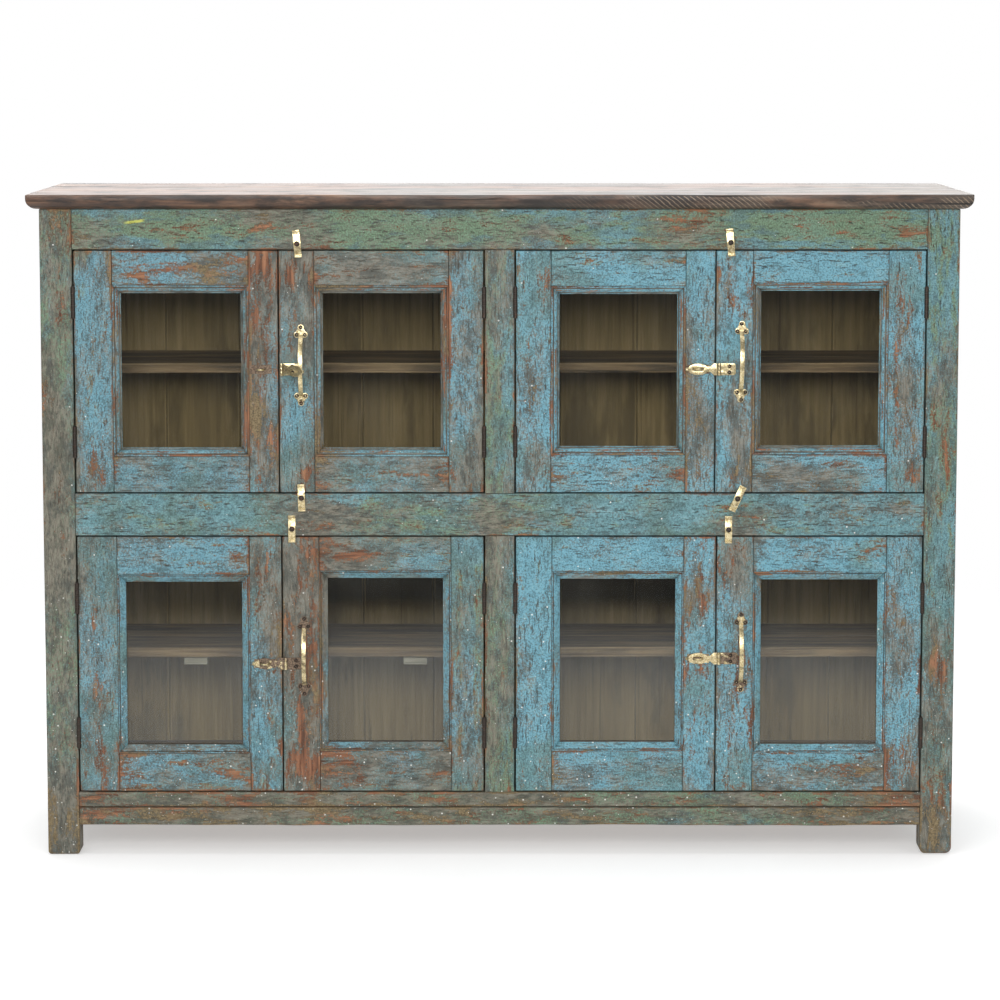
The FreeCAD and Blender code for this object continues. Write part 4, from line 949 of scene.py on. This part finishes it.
# ======================= screws and nails =======================
def heads_tree():
    """Domed, slotted heads on points, turned to face along each point's facing vector."""
    tree = bpy.data.node_groups.new("fixing_heads", "GeometryNodeTree")
    for label, kind in (("Geometry", "Geometry"), ("Head_Radius", "Float"), ("Head_Crown", "Float"),
                        ("Slot_Width", "Float"), ("Slot_Floor", "Float"), ("Seed", "Int"),
                        ("Material", "Material")):
        tree.interface.new_socket(label, in_out="INPUT", socket_type="NodeSocket" + kind)
    tree.interface.new_socket("Geometry", in_out="OUTPUT", socket_type="NodeSocketGeometry")

    def add(kind, inputs=None, output=0, **settings):
        return add_node(tree, kind, inputs, **settings).outputs[output]

    def scaled(size, by, more=0.0):
        return add("ShaderNodeMath", {0: size, 1: by, 2: more}, operation="MULTIPLY_ADD")

    given = add_node(tree, "NodeGroupInput").outputs
    radius = given["Head_Radius"]
    flat = add("ShaderNodeMath", {0: given["Head_Crown"], 1: radius}, operation="DIVIDE")
    squash = add("ShaderNodeCombineXYZ", {0: 1.0, 1: 1.0, 2: flat})
    ball = add("GeometryNodeMeshUVSphere", {"Segments": 20, "Rings": 12, "Radius": radius}, "Mesh")
    dome = add("GeometryNodeTransform", {"Geometry": ball, "Scale": squash})
    bar = add("ShaderNodeCombineXYZ", {0: scaled(radius, 3.0), 1: given["Slot_Width"], 2: radius})
    lift = add("ShaderNodeCombineXYZ", {2: scaled(radius, 0.5, given["Slot_Floor"])})
    cube = add("GeometryNodeMeshCube", {"Size": bar}, "Mesh")
    slot = add("GeometryNodeTransform", {"Geometry": cube, "Translation": lift})
    cut = add("GeometryNodeMeshBoolean", {"Mesh 1": dome, "Mesh 2": slot}, "Mesh", operation="DIFFERENCE")
    facing = add("GeometryNodeInputNamedAttribute", {"Name": "facing"}, data_type="FLOAT_VECTOR")
    stand = add("FunctionNodeAlignRotationToVector", {"Vector": facing}, axis="Z")
    limits = {"Seed": given["Seed"], 2: 0.0, 3: math.pi}
    chance = add("FunctionNodeRandomValue", limits, 1, data_type="FLOAT")
    roll = add("FunctionNodeAxisAngleToRotation", {"Axis": (0, 0, 1), "Angle": chance})
    turned = add("FunctionNodeRotateRotation", {"Rotation": stand, "Rotate By": roll},
                 rotation_space="LOCAL")
    heads = {"Points": given["Geometry"], "Instance": cut, "Rotation": turned}
    real = add("GeometryNodeRealizeInstances", {0: add("GeometryNodeInstanceOnPoints", heads)})
    made = add("GeometryNodeSetMaterial", {"Geometry": real, "Material": given["Material"]})
    add_node(tree, "NodeGroupOutput", {0: made})
    return tree


HEADS = heads_tree()


def fixings(name, body, points, facing, seed, **sizes):
    """Screw or nail heads at the points, as one plain mesh on one body."""
    mesh = bpy.data.meshes.new(name)
    mesh.from_pydata([tuple(p) for p in points], [], [])
    layer = mesh.attributes.new("facing", "FLOAT_VECTOR", "POINT")
    layer.data.foreach_set("vector", np.tile(np.array(facing, np.float32), len(points)))
    obj = bpy.data.objects.new(name, mesh)
    bpy.context.scene.collection.objects.link(obj)
    modifier = obj.modifiers.new("heads", "NODES")
    modifier.node_group = HEADS
    values = {"Seed": seed, "Material": dark_screw, **sizes}
    for item in HEADS.interface.items_tree:
        if item.in_out == "INPUT" and item.name in values:
            modifier[item.identifier] = values[item.name]
    seen = obj.evaluated_get(bpy.context.evaluated_depsgraph_get())
    solid = bpy.data.meshes.new_from_object(seen)
    obj.modifiers.clear()
    obj.data = solid
    solid.materials.clear()
    solid.materials.append(dark_screw)
    solid.polygons.foreach_set("use_smooth", [True] * len(solid.polygons))
    solid.set_sharp_from_angle(angle=0.7)
    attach(obj, body)


# Each fitted door: its meeting edge, then the hasp's axis from that edge, height and plate length,
# then the handle's distance from the edge and height.
FITTINGS = {
    "upper_door_2": (-0.371, 0.0036, 0.835, 0.03, 0.0365, 0.842),
    "upper_door_4": (0.364, 0.0052, 0.8354, 0.028, 0.0425, 0.848),
    "lower_door_2": (-0.368, 0.0045, 0.3325, 0.028, 0.036, 0.345),
    "lower_door_4": (0.368, 0.004, 0.3414, 0.032, 0.0415, 0.352),
}
LOBES = ((0.0, 0.0084), (0.00694, -0.00448), (-0.00694, -0.00448))
for seed, (door, (meet, axis, hasp_z, plate, reach, handle_z)) in enumerate(FITTINGS.items()):
    rose = [(meet + reach + dx, FRONT - 0.002, handle_z + away * (0.056 + dz))
            for away in (1, -1) for dx, dz in LOBES]
    hasp = [(meet + axis + plate * 0.62, FRONT - 0.0016, hasp_z + dz) for dz in (-0.0052, 0.0052)]
    fixings(door + "_screw_heads", door, rose + hasp, (0, -1, 0), seed,
            Head_Radius=0.0033, Head_Crown=0.0023, Slot_Width=0.0008, Slot_Floor=0.0013)

nails = []
for rail_low, rail_high in (top_z, mid_z, low_z):
    height = (rail_low[2] + rail_high[2]) / 2
    for x0, x1 in zip(edges, edges[1:]):
        for share in (0.2, 0.8):
            nails.append((x0 + (x1 - x0) * share + rng.uniform(-0.004, 0.004), back_high[1] - 0.0004,
                          height + rng.uniform(-0.008, 0.008)))
fixings("back_nails", "root", nails, (0, 1, 0), 11,
        Head_Radius=0.0024, Head_Crown=0.0004, Slot_Width=0.0001, Slot_Floor=0.01)

# ======================= floor, light, camera =======================
FLOOR_NEAR, FLOOR_FAR = 1.7, 2.6
mesh = bpy.data.meshes.new("studio_floor")
corners = [(-5, -3, 0), (5, -3, 0), (5, 3, 0), (-5, 3, 0)]
mesh.from_pydata(corners, [], [(0, 1, 2, 3)])
floor = bpy.data.objects.new("studio_floor", mesh)
mesh.materials.append(floor_paint("studio_floor", FLOOR_NEAR, FLOOR_FAR))
bpy.context.scene.collection.objects.link(floor)


def lamp(name, place, target, size, power, tint=(1, 1, 1)):
    """A square soft box that looks at a point."""
    data = bpy.data.lights.new(name, "AREA")
    data.shape, data.size, data.size_y = "RECTANGLE", size[0], size[1]
    data.energy, data.color = power, tint
    obj = bpy.data.objects.new(name, data)
    obj.location = place
    obj.rotation_mode = "QUATERNION"
    obj.rotation_quaternion = (Vector(target) - Vector(place)).to_track_quat("-Z", "Y")
    bpy.context.scene.collection.objects.link(obj)
    return obj


middle = (0, 0, 0.55)
lamp("front", (-0.2, -3.3, 1.7), (0, 0, 0.7), (2.6, 0.8), 68)
lamp("low_front", (0.2, -5.6, 1.75), (0, 0, 0.8), (2.4, 1.0), 40)
lamp("key", (-2.0, -2.8, 3.2), middle, (2.4, 1.8), 44)
lamp("side", (2.8, -3.0, 2.2), middle, (2.0, 2.0), 30)
lamp("overhead", (0, 0.2, 3.8), middle, (4.0, 3.0), 90)
lamp("rear", (0, 3.6, 2.6), middle, (4.0, 2.2), 70)

world = bpy.data.worlds.new("studio")
bpy.context.scene.world = world
world.use_nodes = True
tree = world.node_tree
tree.nodes.clear()
way = add_node(tree, "ShaderNodeTexCoord").outputs["Generated"]
ahead = add_node(tree, "ShaderNodeSeparateXYZ", {0: way}).outputs["Y"]
limits = {"Value": ahead, "From Min": -0.35, "From Max": 0.25, "To Min": 0.05, "To Max": 0.8}
glow = add_node(tree, "ShaderNodeMapRange", limits, interpolation_type="SMOOTHSTEP").outputs[0]
seen = add_node(tree, "ShaderNodeLightPath").outputs["Is Camera Ray"]
bright = add_node(tree, "ShaderNodeMix", {"Factor": seen, "A": glow, "B": 1.0}, data_type="FLOAT")
sky = {"Color": (1, 1, 1, 1), "Strength": bright.outputs["Result"]}
shine = add_node(tree, "ShaderNodeBackground", sky).outputs[0]
add_node(tree, "ShaderNodeOutputWorld", {0: shine})

CAMERA_AWAY = 5.2
CAMERA_HIGH = 1.373
CAMERA_TILT = 5.9
lens = bpy.data.cameras.new("camera")
lens.lens, lens.sensor_width, lens.shift_y = 111.8, 36.0, -0.131
lens.clip_start, lens.clip_end = 0.1, 60
camera = bpy.data.objects.new("camera", lens)
camera.location = (0.0005, FRONT - CAMERA_AWAY, CAMERA_HIGH)
camera.rotation_euler = (math.radians(90 - CAMERA_TILT), 0, 0)
bpy.context.scene.collection.objects.link(camera)
bpy.context.scene.camera = camera
bpy.context.scene.view_settings.view_transform = "Standard"
